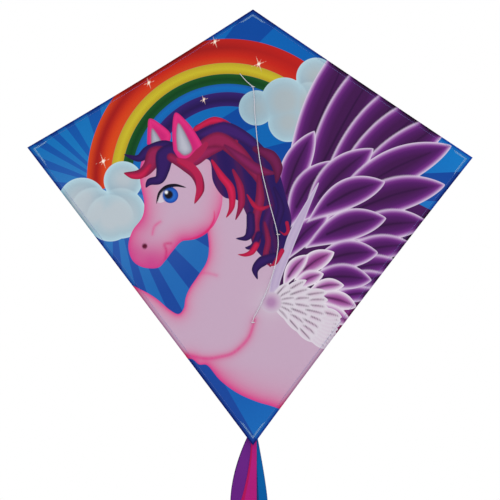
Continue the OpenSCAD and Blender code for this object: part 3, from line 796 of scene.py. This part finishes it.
t = np.linspace(0, 1, 200)
for name, a, b, hollow in SIDES:
    lap = np.stack([along_side(a, b, hollow, inset, t) for inset in HEM_LAP], 1)
    hem = surface("hem_" + name, behind(lap, HEM_RISE), taffeta)
    carry_print(hem, print_place(lap.reshape(-1, 2)), np.zeros(lap[..., 0].size))
    on_sail(hem, "sail")


def speckle(tree, size, dark, light, detail=2.0):
    """Soft spots of about a size, and the colour that goes from dark to light with them."""
    place = add(tree, "ShaderNodeTexCoord")
    spots = add(tree, "ShaderNodeTexNoise", [("Vector", place.outputs["Object"]), ("Scale", 1 / size),
                                             ("Detail", detail)])
    tone = add(tree, "ShaderNodeMix", [(0, spots.outputs[0]), (6, rgba(dark)), (7, rgba(light))],
               data_type="RGBA")
    return spots.outputs[0], tone.outputs[2]


# Polyester sewing thread: thin, smooth and a little shiny, with a twist that shows as light and dark flecks.
# It is mid blue, and pale blue at the sail's corners and on the tab; 0.3 mm, drawn 0.5 mm thick so that it shows.
threads = []
for name, dark, light in (("polyester_sewing_thread", "#4d62b4", "#7c8fd0"),
                          ("pale_polyester_sewing_thread", "#8cc4e8", "#bfe4f6")):
    made, tree, shader = new_material(name)
    feed(tree, shader, [("Base Color", speckle(tree, 1.4 * MM, dark, light)[1]), ("Roughness", 0.5)])
    threads.append(made)
thread, pale_thread = threads


def stitches(name, seam_ends, lift, radius, material):
    """Short threads from starts to ends. Each is a five-sided tube of five rings, whose middle rises by
    lift * sin(pi t) and whose thickness is radius * (0.35 + 0.65 sin(pi t)), closed at its ends."""
    starts, ends = seam_ends
    t = np.array([0, 0.2, 0.5, 0.8, 1.0])
    bow = np.sin(np.pi * t)
    lift = np.broadcast_to(np.asarray(lift, float), starts.shape)
    up = lift / np.linalg.norm(lift, axis=-1, keepdims=True)
    ahead = (ends - starts) / np.linalg.norm(ends - starts, axis=-1, keepdims=True)
    side = np.cross(ahead, up)
    line = starts[:, None] + (ends - starts)[:, None] * t[:, None] + lift[:, None] * bow[:, None]
    a = 2 * np.pi * np.arange(5) / 5
    ring = np.cos(a)[:, None] * side[:, None] + np.sin(a)[:, None] * up[:, None]
    points = line[:, :, None] + (radius * (0.35 + 0.65 * bow))[:, None, None] * ring[:, None]
    first = 25 * np.arange(len(starts))[:, None, None]
    i, j = np.meshgrid(np.arange(4), np.arange(5), indexing="ij")
    k = (j + 1) % 5
    walls = np.stack([5 * i + j, 5 * i + k, 5 * i + 5 + k, 5 * i + 5 + j], -1).reshape(-1, 4)
    caps = np.array([[4, 3, 2, 1, 0], [20, 21, 22, 23, 24]])
    faces = (first + walls).reshape(-1, 4).tolist() + (first + caps).reshape(-1, 5).tolist()
    return mesh_piece(name, points.reshape(-1, 3), faces, material)


def seam(rows, pitch, gap=0.25):
    """Starts and ends of stitches at even steps along rows of points, each a share (1 - gap) of a step long."""
    starts, ends = [], []
    for row in rows:
        run = run_of(row)
        count = max(2, int(run[-1] / pitch))
        edges = run[-1] * np.arange(count) / count
        for found, at in ((starts, edges), (ends, edges + run[-1] / count * (1 - gap))):
            found.append(np.stack([np.interp(at, run, axis) for axis in row.T], -1))
    return np.concatenate(starts), np.concatenate(ends)


t = np.linspace(0, 1, 120)
for name, a, b, hollow in SIDES:
    for face, inset, rise, lift in (("front", 6.6 * MM, -0.1 * MM, -0.25 * MM),
                                    ("back", 4.9 * MM, 0.35 * MM, 0.3 * MM)):
        row = behind(along_side(a, b, hollow, inset, t), rise)
        made = stitches(f"hem_stitches_{name}_{face}", seam([row], 3.2 * MM), (0, lift, 0), 0.26 * MM, thread)
        on_sail(made, "sail")

# ---- Corner pockets ----
# A patch of navy polyester behind each corner, sewn down both edges and open towards the middle. The capped
# end of a rod is pushed into each; the rod holds the cloth up in a ridge. The mouth is turned in and sewn.

# Navy polyester: a flat, close cloth, nearly black, whose weave shows as a faint check of painted shade, lighter
# on the raised threads, and which shines a little along its folds. The threads of 0.2 mm are drawn at 1.2 mm so
# that they show.
navy, tree, shader = new_material("navy_polyester_pocket_cloth")
cells, bump, _ = plain_weave(tree, 1.2 * MM, 0.1 * MM)
# Painted shade of the weave: lighter on the raised threads, darker between them.
tone = add(tree, "ShaderNodeMapRange", [(0, cells), (1, -1.0), (2, 1.0)])
shade = add(tree, "ShaderNodeMix", [(0, tone.outputs[0]), (6, rgba("#0e1430")), (7, rgba("#1b2449"))],
            data_type="RGBA")
feed(tree, shader, [("Base Color", shade.outputs[2]), ("Normal", bump), ("Roughness", 0.8),
                    ("Sheen Weight", 0.15)])

spar_low, spar_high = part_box("cross_spar")
spar_y = (spar_low[1] + spar_high[1]) / 2
CAP_R = 2.85 * MM
CORNER_GAP = 14 * MM                        # from the sail's corner to the end of the rod's cap


def thicken(piece, thickness):
    """Gives a sheet of cloth its thickness, half to each side."""
    cloth = piece.modifiers.new("cloth thickness", "SOLIDIFY")
    cloth.thickness = thickness
    cloth.offset = 0.0


def pocket_cloth(corner, to_a, to_b, leg, axis_y, room, t, s):
    """Points of a pocket at shares t from its closed corner to its mouth and s across, -1 to 1. Over the rod it
    stands at the rod's depth plus its room; out to each seam it falls as (1 - q / w) ** 0.85, with q the distance
    from the rod and w that to the seam."""
    way_a, way_b = ((to - corner) / np.linalg.norm(to - corner) for to in (to_a, to_b))
    middle = (way_a + way_b) / np.linalg.norm(way_a + way_b)
    half = math.acos(way_a @ way_b) / 2
    apex = corner + middle * HEM / math.sin(half)
    rod = corner / np.linalg.norm(corner)
    off_rod = np.array([rod[1], -rod[0]])
    down, share = t[..., None] * leg, (s[..., None] + 1) / 2
    p = apex + down * (way_a * (1 - share) + way_b * share)
    q = p @ off_rod
    q_a, q_b = ((apex + down * way) @ off_rod for way in (way_a, way_b))
    width = np.maximum(np.abs(np.where(q * q_a > 0, q_a, q_b)), 0.2 * MM)
    reach = apex @ rod - (np.linalg.norm(corner) - CORNER_GAP) - 0.8 * MM
    closed = np.clip((apex @ rod - p @ rod) / reach, 0, 1)
    tent = np.clip(1 - np.abs(q) / width, 0, 1) ** 0.85
    dome = np.sqrt(1 - np.clip(np.abs(q) / (room + 2.2 * MM), 0, 1) ** 4)
    shape = np.maximum(tent, dome) * np.clip((width - np.abs(q)) / (1.3 * MM), 0, 1) ** 0.7
    base = sail_depth(p[..., 0]) + 0.45 * MM
    slack = 0.25 * MM * np.sin(t * 9 + s * 5) * np.sin(np.pi * np.abs(s)) * closed
    depth = base + (axis_y + room - base) * np.sin(closed * np.pi / 2) * shape + slack
    return np.stack([p[..., 0], depth, p[..., 1]], -1)


down, across = np.maximum(np.linspace(0, 1, 61) ** 1.3, 0.004), np.sin(np.linspace(-1, 1, 81) * np.pi / 2)
down, across = np.meshgrid(down, np.sign(across) * np.abs(across) ** 1.2, indexing="ij")
line = np.linspace(0.02, 0.985, 40)
mouth = np.linspace(-0.96, 0.96, 80)
seam_places = [(line, np.full(40, -0.97)), (line, np.full(40, 0.97)), (np.full(80, 0.93), mouth)]
for name, node_name, corner, to_a, to_b, leg, axis_y, room in (
    ("nose", "nose_pocket", nose, left_tip, right_tip, 48 * MM, 0.0, CAP_R + 0.4 * MM),
    ("foot", "tail_pocket", foot, right_tip, left_tip, 66 * MM, 0.0, CAP_R + 0.4 * MM),
    ("left", "tip_pocket_left", left_tip, foot, nose, 44 * MM, spar_y, CAP_R + 0.6 * MM),
    ("right", "tip_pocket_right", right_tip, nose, foot, 44 * MM, spar_y, CAP_R + 0.6 * MM),
):
    cut = (corner, to_a, to_b, leg, axis_y, room)
    cloth = surface("pocket_" + name, pocket_cloth(*cut, down, across), navy)
    thicken(cloth, 0.35 * MM)
    on_sail(cloth, node_name)
    lift = np.array([0, 0.3 * MM, 0])
    rows = [pocket_cloth(*cut, t, s) + lift * 0.9 for t, s in seam_places]
    made = stitches(f"pocket_{name}_stitches", seam(rows, 3.0 * MM), lift, 0.25 * MM, thread)
    on_sail(made, node_name)
    rows = []
    for _, a, b, hollow in SIDES:
        for inset, count in ((7.4 * MM, 24), (8.8 * MM, 20)):
            row = behind(along_side(a, b, hollow, inset, np.linspace(0, 1, 400)), -0.12 * MM)
            if (a == corner).all():
                rows.append(row[:count])
            elif (b == corner).all():
                rows.append(row[::-1][:count])
    marks = seam(rows, 2.6 * MM, 0.12)
    made = stitches(f"corner_{name}_stitches", marks, (0, -0.3 * MM, 0), 0.34 * MM, pale_thread)
    on_sail(made, "sail")

# ---- Patches behind the bridle ties ----
# Squares of white ripstop stuck and sewn behind the sail, where a tie goes through. A grid of thicker threads
# every 5 mm stops a tear.

PATCH_HALF = 12 * MM
SEAM_HALF = 10.4 * MM

# Ripstop nylon: white, thin and crisp, with a square grid of greyer threads that stands out from the plain
# cloth. The fine threads of 0.1 mm are drawn at 0.9 mm; the grid has its real 5 mm.
ripstop, tree, shader = new_material("white_ripstop_nylon")
_, bump, _ = plain_weave(tree, 0.9 * MM, 0.06 * MM)
place = add(tree, "ShaderNodeTexCoord")
part = add(tree, "ShaderNodeSeparateXYZ", [(0, place.outputs["Object"])])
heavy = []
for axis in ("X", "Z"):
    step = add(tree, "ShaderNodeMath", [(0, part.outputs[axis]), (1, 5 * MM)], operation="PINGPONG")
    heavy.append(add(tree, "ShaderNodeMath", [(0, step.outputs[0]), (1, 0.35 * MM)], operation="LESS_THAN"))
grid = add(tree, "ShaderNodeMath", [(0, heavy[0].outputs[0]), (1, heavy[1].outputs[0])], operation="MAXIMUM")
shade = add(tree, "ShaderNodeMix", [(0, grid.outputs[0]), (6, rgba("#e2e3e6")), (7, rgba("#c6c9d0"))],
            data_type="RGBA")
feed(tree, shader, [("Base Color", shade.outputs[2]), ("Normal", bump), ("Roughness", 0.55)])

u, v = np.meshgrid(np.linspace(-1, 1, 49), np.linspace(-1, 1, 49), indexing="ij")
curl = 0.25 * MM * np.clip(np.maximum(np.abs(u), np.abs(v)) - 0.86, 0, 1) / 0.14
for name, height in (("upper", UPPER_TIE), ("lower", LOWER_TIE)):
    p = np.stack([v * PATCH_HALF, height - u * PATCH_HALF], -1)
    patch = surface("patch_" + name, behind(p, 0.55 * MM - curl), ripstop)
    with open_mesh(patch) as work:
        middles = [(face, face.calc_center_median()) for face in work.faces]
        hole = [face for face, middle in middles
                if abs(abs(middle.x) - TIE_HALF) < 0.9 * MM and abs(middle.z - height) < 0.9 * MM]
        bmesh.ops.delete(work, geom=hole, context="FACES")
    thicken(patch, 0.2 * MM)
    square = np.array([[-1, -1], [1, -1], [1, 1], [-1, 1], [-1, -1]]) * SEAM_HALF + [0, height]
    rows = [behind(np.linspace(c, d, 12), 0.6 * MM) for c, d in zip(square[:-1], square[1:])]
    sewn = stitches(f"patch_{name}_stitches", seam(rows, 2.4 * MM), (0, 0.3 * MM, 0), 0.22 * MM, thread)
    for made in (patch, sewn):
        on_sail(made, "bridle_patch_" + name)


# ---- Spine and cross spar ----
# Two pultruded fibreglass rods of 4 mm, with the glass threads running lengthwise under a thin skin of resin.
# The spine runs up behind the sail, and the cross spar behind the spine.


def refinish(node_names, material):
    """Gives CAD nodes their material through their object's slots; their meshes stay as they are."""
    for name in node_names:
        for place in nodes[name].material_slots:
            place.link = "OBJECT"
            place.material = material


# Fibreglass: pale and slightly see-through, with fine streaks along the rod and a low gloss from the resin.
# The streaks are bundles of glass, 0.6 mm wide and 160 mm long.
STREAK_W, STREAK_L = 1 / (0.6 * MM), 1 / (160 * MM)
for name, stretch in (("spine", (STREAK_W, STREAK_W, STREAK_L)), ("cross_spar", (STREAK_L, STREAK_W, STREAK_W))):
    glass, tree, shader = new_material("pultruded_fibreglass_" + name)
    place = add(tree, "ShaderNodeTexCoord")
    drawn_out = add(tree, "ShaderNodeMapping", [("Vector", place.outputs["Object"]), ("Scale", stretch)])
    streaks = add(tree, "ShaderNodeTexNoise", [("Vector", drawn_out.outputs[0]), ("Scale", 1.0), ("Detail", 4.0)])
    tone = add(tree, "ShaderNodeMix", [(0, streaks.outputs[0]), (6, rgba("#c8c3a2")), (7, rgba("#efecd8"))],
               data_type="RGBA")
    bump = add(tree, "ShaderNodeBump", [("Strength", 0.3), ("Distance", 0.05 * MM), ("Height", streaks.outputs[0])])
    feed(tree, shader, [("Base Color", tone.outputs[2]), ("Normal", bump.outputs[0]), ("Roughness", 0.35),
                        ("Subsurface Weight", 0.15), ("Subsurface Scale", 1.0 * MM)])
    refinish([name], glass)

# ---- End caps ----
# Soft black vinyl, dip moulded, pushed over the rods' ends so that they don't wear through the cloth.
# The dip leaves a skin without seams.

# Vinyl: black with a smooth, faintly waxy skin and a few shallow dimples of about 2 mm.
vinyl, tree, shader = new_material("dip_moulded_vinyl")
dimples, tone = speckle(tree, 2.2 * MM, "#121214", "#26262a")
bump = add(tree, "ShaderNodeBump", [("Strength", 0.25), ("Distance", 0.15 * MM), ("Height", dimples)])
feed(tree, shader, [("Base Color", tone), ("Normal", bump.outputs[0]), ("Roughness", 0.42), ("IOR", 1.53)])
refinish(["spine_cap_top", "spine_cap_bottom", "spar_cap_left", "spar_cap_right"], vinyl)

# ---- Cross fitting ----
# Two moulded black nylon sleeves, one clipped on each rod, that turn on each other on an aluminium rivet when
# the kite is folded. The mould was spark eroded.

# Moulded nylon: off-black with cloudy flow marks of 8 mm, and an even grain of 0.4 mm that dulls its shine.
nylon, tree, shader = new_material("moulded_black_nylon")
tone = speckle(tree, 8 * MM, "#17181b", "#2b2c31")[1]
place = add(tree, "ShaderNodeTexCoord")
grain = add(tree, "ShaderNodeTexNoise", [("Vector", place.outputs["Object"]), ("Scale", 1 / (0.4 * MM)),
                                         ("Detail", 3.0)])
bump = add(tree, "ShaderNodeBump", [("Strength", 0.5), ("Distance", 0.06 * MM), ("Height", grain.outputs[0])])
feed(tree, shader, [("Base Color", tone), ("Normal", bump.outputs[0]), ("Roughness", 0.5)])
refinish(["spine_clip", "spar_clip"], nylon)

# Pressed aluminium: a soft grey metal, brighter where it is rubbed, with spots of 0.7 mm that shine unevenly.
aluminium, tree, shader = new_material("pressed_aluminium")
pressed, tone = speckle(tree, 0.7 * MM, "#b9bbc0", "#dcdde0", 5.0)
worn = add(tree, "ShaderNodeMapRange", [(0, pressed), (1, 0.3), (2, 0.7), (3, 0.28), (4, 0.45)])
feed(tree, shader, [("Base Color", tone), ("Roughness", worn.outputs[0]), ("Metallic", 1.0)])
refinish(["swivel_rivet"], aluminium)

# ---- Tow ring and the tail's D-ring ----
# Steel wire, bent to shape, welded and nickel plated. The tow ring takes the flying line, and the D-ring's bar
# lies in the webbing tab.

# Nickel plate: bright and a little yellow, with small worn spots of half a millimetre that blur its shine.
nickel, tree, shader = new_material("nickel_plated_steel_wire")
drawn, tone = speckle(tree, 0.55 * MM, "#c4c0b8", "#e2dfd8", 4.0)
worn = add(tree, "ShaderNodeMapRange", [(0, drawn), (1, 0.3), (2, 0.7), (3, 0.14), (4, 0.3)])
feed(tree, shader, [("Base Color", tone), ("Roughness", worn.outputs[0]), ("Metallic", 1.0)])
refinish(["tow_ring", "tail_ring"], nickel)

# ---- Tail: webbing tab and loop ----
# The tab is 8 mm polypropylene webbing, folded round the D-ring's bar and sewn to the bottom pocket. A loop of
# tape goes round the D-ring's bow and down into the binding of the ribbons.


def woven_strap(name, dark, light):
    """Woven strap: flat threads in ribs across it, 1.3 mm from rib to rib, as the sum of a wave along the strap
    and half a wave of 0.9 mm across it. Painted light makes the ribs lighter, and painted shade makes the rows
    between them darker."""
    made, tree, shader = new_material(name)
    place = add(tree, "ShaderNodeTexCoord")
    part = add(tree, "ShaderNodeSeparateXYZ", [(0, place.outputs["UV"])])
    waves = [ripple(tree, part.outputs[axis], pitch) for axis, pitch in (("X", 0.9 * MM), ("Y", 1.3 * MM))]
    ribs = add(tree, "ShaderNodeMath", [(0, waves[0]), (1, 0.5), (2, waves[1])], operation="MULTIPLY_ADD")
    share = add(tree, "ShaderNodeMapRange", [(0, ribs.outputs[0]), (1, -1.5), (2, 1.5)])
    # Painted light and shade: the colour follows the ribs' height, lighter on their tops.
    tone = add(tree, "ShaderNodeMix", [(0, share.outputs[0]), (6, rgba(dark)), (7, rgba(light))], data_type="RGBA")
    bump = add(tree, "ShaderNodeBump", [("Strength", 0.8), ("Distance", 0.15 * MM), ("Height", ribs.outputs[0])])
    feed(tree, shader, [("Base Color", tone.outputs[2]), ("Normal", bump.outputs[0]), ("Roughness", 0.5)])
    return made


def strap(name, path, width, thick, material):
    """A strap that lies across x, along a path of (y, z) points. Its section is a flat superellipse:
    x = w/2 * sign(cos a) |cos a| ** 0.35, out = t/2 * sign(sin a) |sin a| ** 0.7."""
    ahead = np.gradient(path, axis=0)
    ahead /= np.linalg.norm(ahead, axis=1)[:, None]
    out = np.stack([-ahead[:, 1], ahead[:, 0]], -1)
    a = 2 * np.pi * np.arange(32) / 32
    across = width / 2 * np.sign(np.cos(a)) * np.abs(np.cos(a)) ** 0.35
    rise = thick / 2 * np.sign(np.sin(a)) * np.abs(np.sin(a)) ** 0.7
    ends = path[:, None] + out[:, None] * rise[:, None]
    grid = np.concatenate([np.broadcast_to(across[:, None], (len(path), 32, 1)), ends], -1)
    made = surface(name, grid, material, around=True)
    fill_ends(made, 32)
    return outwards(made)


tab_low, tab_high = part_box("tail_tab")
loop_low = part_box("tail_loop")[0]
ring_low, ring_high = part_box("tail_ring")
pivot_y = (ring_low[1] + ring_high[1]) / 2
pivot_z = tab_low[2] + 2.0 * MM

# Navy polypropylene webbing: glossy dark threads in clear ribs.
navy_webbing = woven_strap("navy_polypropylene_webbing", "#0c1230", "#26305e")

round_bar = np.linspace(-np.pi, 0, 15)
tab_front, tab_back = tab_low[1] + 0.5 * MM, tab_low[1] + 1.5 * MM
tab_path = smooth(np.concatenate([
    [[tab_front, tab_high[2]], [tab_front, pivot_z + 6 * MM]],
    np.stack([pivot_y + 1.5 * MM * np.cos(round_bar), pivot_z + 1.5 * MM * np.sin(round_bar)], -1),
    [[pivot_y + 0.9 * MM, pivot_z + 2.2 * MM], [tab_back, pivot_z + 4.5 * MM], [tab_back, tab_high[2] - 0.8 * MM]],
]), 3)
tail_tab = strap("tail_webbing_tab", tab_path, 8 * MM, 0.92 * MM, navy_webbing)
belongs(tail_tab, "sail_frame", "tail_tab")
box_corners = np.array([[-1, 0], [1, 0], [1, 1], [-1, 1], [-1, 0], [1, 1], [1, 0], [-1, 1]], float)
box_corners = box_corners * [2.9 * MM, 6.5 * MM] + [0, pivot_z + 6.2 * MM]
box_line = np.concatenate([np.linspace(c, d, 10) for c, d in zip(box_corners[:-1], box_corners[1:])])
box_line = np.stack([box_line[:, 0], np.full(len(box_line), tab_low[1] + 2.0 * MM), box_line[:, 1]], -1)
tab_stitches = stitches("tail_tab_stitches", seam([box_line], 1.4 * MM), (0, 0.2 * MM, 0), 0.2 * MM, pale_thread)
belongs(tab_stitches, "sail_frame", "tail_tab")

# Violet polyester tape: deep violet, with the same ribs.
violet_tape = woven_strap("violet_polyester_binding_tape", "#250840", "#4c1c72")

bow_z = ring_low[2] + 0.9 * MM
over_bow = np.linspace(-0.15 * np.pi, 1.15 * np.pi, 21)
below = np.array([[0.5 * MM, loop_low[2] - 5 * MM], [0.55 * MM, loop_low[2] - 1 * MM],
                  [0.8 * MM, bow_z - 1.9 * MM]])
loop_path = smooth(np.concatenate([
    below + [pivot_y, 0],
    np.stack([pivot_y + 1.4 * MM * np.cos(over_bow), bow_z + 1.4 * MM * np.sin(over_bow)], -1),
    below[::-1] * [-1, 1] + [pivot_y, 0],
]), 3)
tail_loop = strap("tail_tape_loop", loop_path, 7.6 * MM, 0.66 * MM, violet_tape)
belongs(tail_loop, "tail", "tail_loop")

# ---- Tail: binding ----
# Violet polyester tape wound twice round the gathered heads of the ribbons and sewn through. Its turns are
# pulled tight, so each bulges a little, with a groove between them.

# The wall's section from its top round to its inside, as (share outwards, share of its height)
BAND_SECTION = np.array([
    [0.80, 0.47], [0.93, 0.50], [1.0, 0.42], [1.02, 0.25], [0.99, 0.05], [0.955, 0.0], [0.99, -0.05],
    [1.02, -0.25], [1.0, -0.42], [0.93, -0.50], [0.80, -0.47], [0.74, -0.2], [0.74, 0.2], [0.80, 0.47],
])
BAND_DEPTH = 3.52 * MM                      # how far in a share of nought would lie
band_low, band_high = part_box("tail_band")
band_size = band_high - band_low
band_middle = (band_low + band_high) / 2
a = 2 * np.pi * np.arange(64) / 64
oval = np.stack([np.sign(np.cos(a)) * np.abs(np.cos(a)) ** 0.5 * band_size[0] / 2,
                 np.sign(np.sin(a)) * np.abs(np.sin(a)) ** 0.7 * band_size[1] / 2], -1)
crush = 1 + 0.02 * np.sin(5 * a + 1) + 0.015 * np.sin(11 * a)
outward = oval / np.linalg.norm(oval, axis=1)[:, None]
section = smooth(BAND_SECTION, 4)
turns = oval * crush[:, None] - outward * (1 - section[:, 0, None, None]) * BAND_DEPTH + band_middle[:2]
heights = np.broadcast_to(band_middle[2] + section[:, 1, None, None] * band_size[2], (len(section), 64, 1))
binding = surface("tail_binding", np.concatenate([turns, heights], -1), violet_tape, around=True)
with open_mesh(binding) as work:
    bmesh.ops.remove_doubles(work, verts=work.verts, dist=1e-6)
outwards(binding)
belongs(binding, "tail", "tail_band")
row = np.full((40, 3), [0, band_low[1] - 0.02 * MM, band_middle[2]])
row[:, 0] = np.linspace(-5.4, 5.4, 40) * MM
rows = [row + [0, 0, height] for height in (-2.4 * MM, 2.4 * MM)]
binding_stitches = stitches("tail_binding_stitches", seam(rows, 1.8 * MM), (0, -0.25 * MM, 0), 0.22 * MM, thread)
belongs(binding_stitches, "tail", "tail_band")

# ---- Tail: ribbons ----
# Three strips of thin polyester taffeta, 28 mm wide and 0.9 m long, violet, magenta and blue. They are gathered
# in the binding, fan out over 120 mm and hang in soft lengthwise folds, with an edge of each turned back.

RIBBON_LENGTH = 0.9
NECK = 10 * MM
FAN = 120 * MM
LOOSE = 90 * MM                             # below the neck, over which the folds open
FOLD = 31 * MM
ribbon_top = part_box("tail_ribbon_purple")[1][2]


def ribbon_points(layer, place, neck, opening, t, s):
    """Points of a ribbon at shares t down its length and s across, -1 to 1. From the neck's two edges it opens
    to 28 mm about place * 19 mm, as the share down the fan to a power (negative: measured from the fan's end).
    Its depth is layer * gap plus folds A sin(2 pi x / 31 mm + slow turns), a curled edge and a slow sway."""
    down = t * RIBBON_LENGTH
    share = np.clip((down - NECK) / FAN, 0, 1)
    fan = share**opening if opening > 0 else 1 - (1 - share) ** -opening
    loose = np.clip((down - NECK) / LOOSE, 0, 1)
    gathered = (neck[0] + neck[1]) / 2 + (neck[1] - neck[0]) / 2 * s
    x = ((1 - fan) * gathered + fan * (14 * s + place * 19)) * MM
    x = x + 5 * MM * loose**2 * np.sin(down * 4.2) * np.clip(down - 0.12, 0, 1)
    height = (0.15 + 1.5 * loose - 0.5 * np.clip(down / RIBBON_LENGTH, 0, 1)) * MM
    fold = height * np.sin(2 * np.pi * x / FOLD + 0.9 + 3 * down)
    curl = 1.4 * MM * loose * np.abs(s) ** 8
    sway = 3.5 * MM * np.clip(down / 0.5, 0, 1) ** 2 * np.sin(down * 7.5 + 0.4)
    gap = (0.55 + 1.0 * loose) * MM
    return np.stack([x, pivot_y + layer * gap + fold + curl + sway, ribbon_top - down], -1)


t, s = np.meshgrid(np.linspace(0, 1, 301) ** 1.25, np.linspace(-1, 1, 57), indexing="ij")
wander = 0.9 * np.sin(t * 40) * np.clip(t * 8, 0, 1)
for name, layer, place, neck, opening, shades, turned in (
    ("purple", 0, -1.3, (-6.3, 6.3), -1.8, ("#5f1e7c", "#6f2689", "#320a50"), (2.4, 0.0)),
    ("magenta", -1, -0.4, (-2.6, 6.3), 2.0, ("#a81a76", "#b8207f", "#b0145a"), (7.2, 0.0)),
    ("blue", 1, 0.6, (-6.3, 6.3), -1.25, ("#00569a", "#0464ac", "#16407e"), (14.4, 1.6)),
):
    # Ribbon taffeta: one deep colour, with painted light that makes it a little lighter on the swells, a dull
    # shine, and painted shade along an edge that is turned back and lies double. Its threads of 0.15 mm are drawn
    # at 0.8 mm so that they show.
    cloth, tree, shader = new_material("polyester_ribbon_taffeta_" + name)
    cells, bump, creases = plain_weave(tree, 0.8 * MM, 0.05 * MM)
    edge_shade_share = add(tree, "ShaderNodeAttribute", attribute_name="turned_edge_shade")
    # Painted light: the colour goes lighter with the cloth's slow swells.
    tone = add(tree, "ShaderNodeMix", [(0, creases), (6, rgba(shades[0])), (7, rgba(shades[1]))], data_type="RGBA")
    # Painted shade where the edge is turned back and lies double.
    edge = add(tree, "ShaderNodeMix", [(0, edge_shade_share.outputs["Fac"]), (6, tone.outputs[2]), (7, rgba(shades[2]))],
               data_type="RGBA")
    # Painted shade of the weave: a little lighter on the raised threads and darker between them.
    weave_shade = add(tree, "ShaderNodeMapRange", [(0, cells), (1, -1.0), (2, 1.0), (3, 0.94), (4, 1.04)])
    toned = add(tree, "ShaderNodeMix", [(0, 1.0), (6, edge.outputs[2]), (7, weave_shade.outputs[0])],
                data_type="RGBA", blend_type="MULTIPLY")
    feed(tree, shader, [("Base Color", toned.outputs[2]), ("Normal", bump), ("Roughness", 0.6),
                        ("Specular IOR Level", 0.06)])
    ribbon = surface("ribbon_" + name, ribbon_points(layer, place, neck, opening, t, s), cloth)
    # Painted shade: the band along the turned-back edge, measured from each side, that the material darkens.
    from_left, from_right = (s + 1) * 14, (1 - s) * 14
    cover = np.maximum(np.clip(turned[0] + wander - from_left, 0, 1), np.clip(turned[1] - from_right, 0, 1))
    store(ribbon, "turned_edge_shade", "FLOAT", "value", cover)
    thicken(ribbon, 0.15 * MM)
    belongs(ribbon, "tail", "tail_ribbon_" + name)

# ---- Floor and light ----
# A plain pale floor well below the tail, and even white light from all round with one soft lamp in front.
# They are the setting, and no part of the kite.

# Matt white paint: plain and pale, without a shine, with a roller's faint stipple every 1 mm or so.
floor_paint, tree, shader = new_material("matt_white_paint")
place = add(tree, "ShaderNodeTexCoord")
stipple = add(tree, "ShaderNodeTexNoise", [("Vector", place.outputs["Object"]), ("Scale", 1 / (1.1 * MM))])
bump = add(tree, "ShaderNodeBump", [("Strength", 0.1), ("Distance", 0.1 * MM), ("Height", stipple.outputs[0])])
feed(tree, shader, [("Base Color", rgba("#e9e8e6")), ("Normal", bump.outputs[0]), ("Roughness", 0.9)])
flat = np.meshgrid(np.linspace(-3, 3, 7), np.linspace(-3, 3, 7), indexing="ij")
floor = surface("floor", np.stack(flat + [np.full((7, 7), cad_box[0][2] - 0.03)], -1), floor_paint)

world = bpy.data.worlds.new("studio")
world.use_nodes = True
world.node_tree.nodes["Background"].inputs["Color"].default_value = (1.0, 1.0, 1.0, 1.0)
world.node_tree.nodes["Background"].inputs["Strength"].default_value = 1.0
bpy.context.scene.world = world

lamp = bpy.data.lights.new("softbox", "AREA")
lamp.shape = "RECTANGLE"
lamp.size = 1.6
lamp.size_y = 1.2
lamp.energy = 4.0
softbox = bpy.data.objects.new("softbox", lamp)
softbox.location = (-1.5, -2.2, 1.3)
softbox.rotation_euler = (math.radians(62), 0, math.radians(-34))
bpy.context.collection.objects.link(softbox)
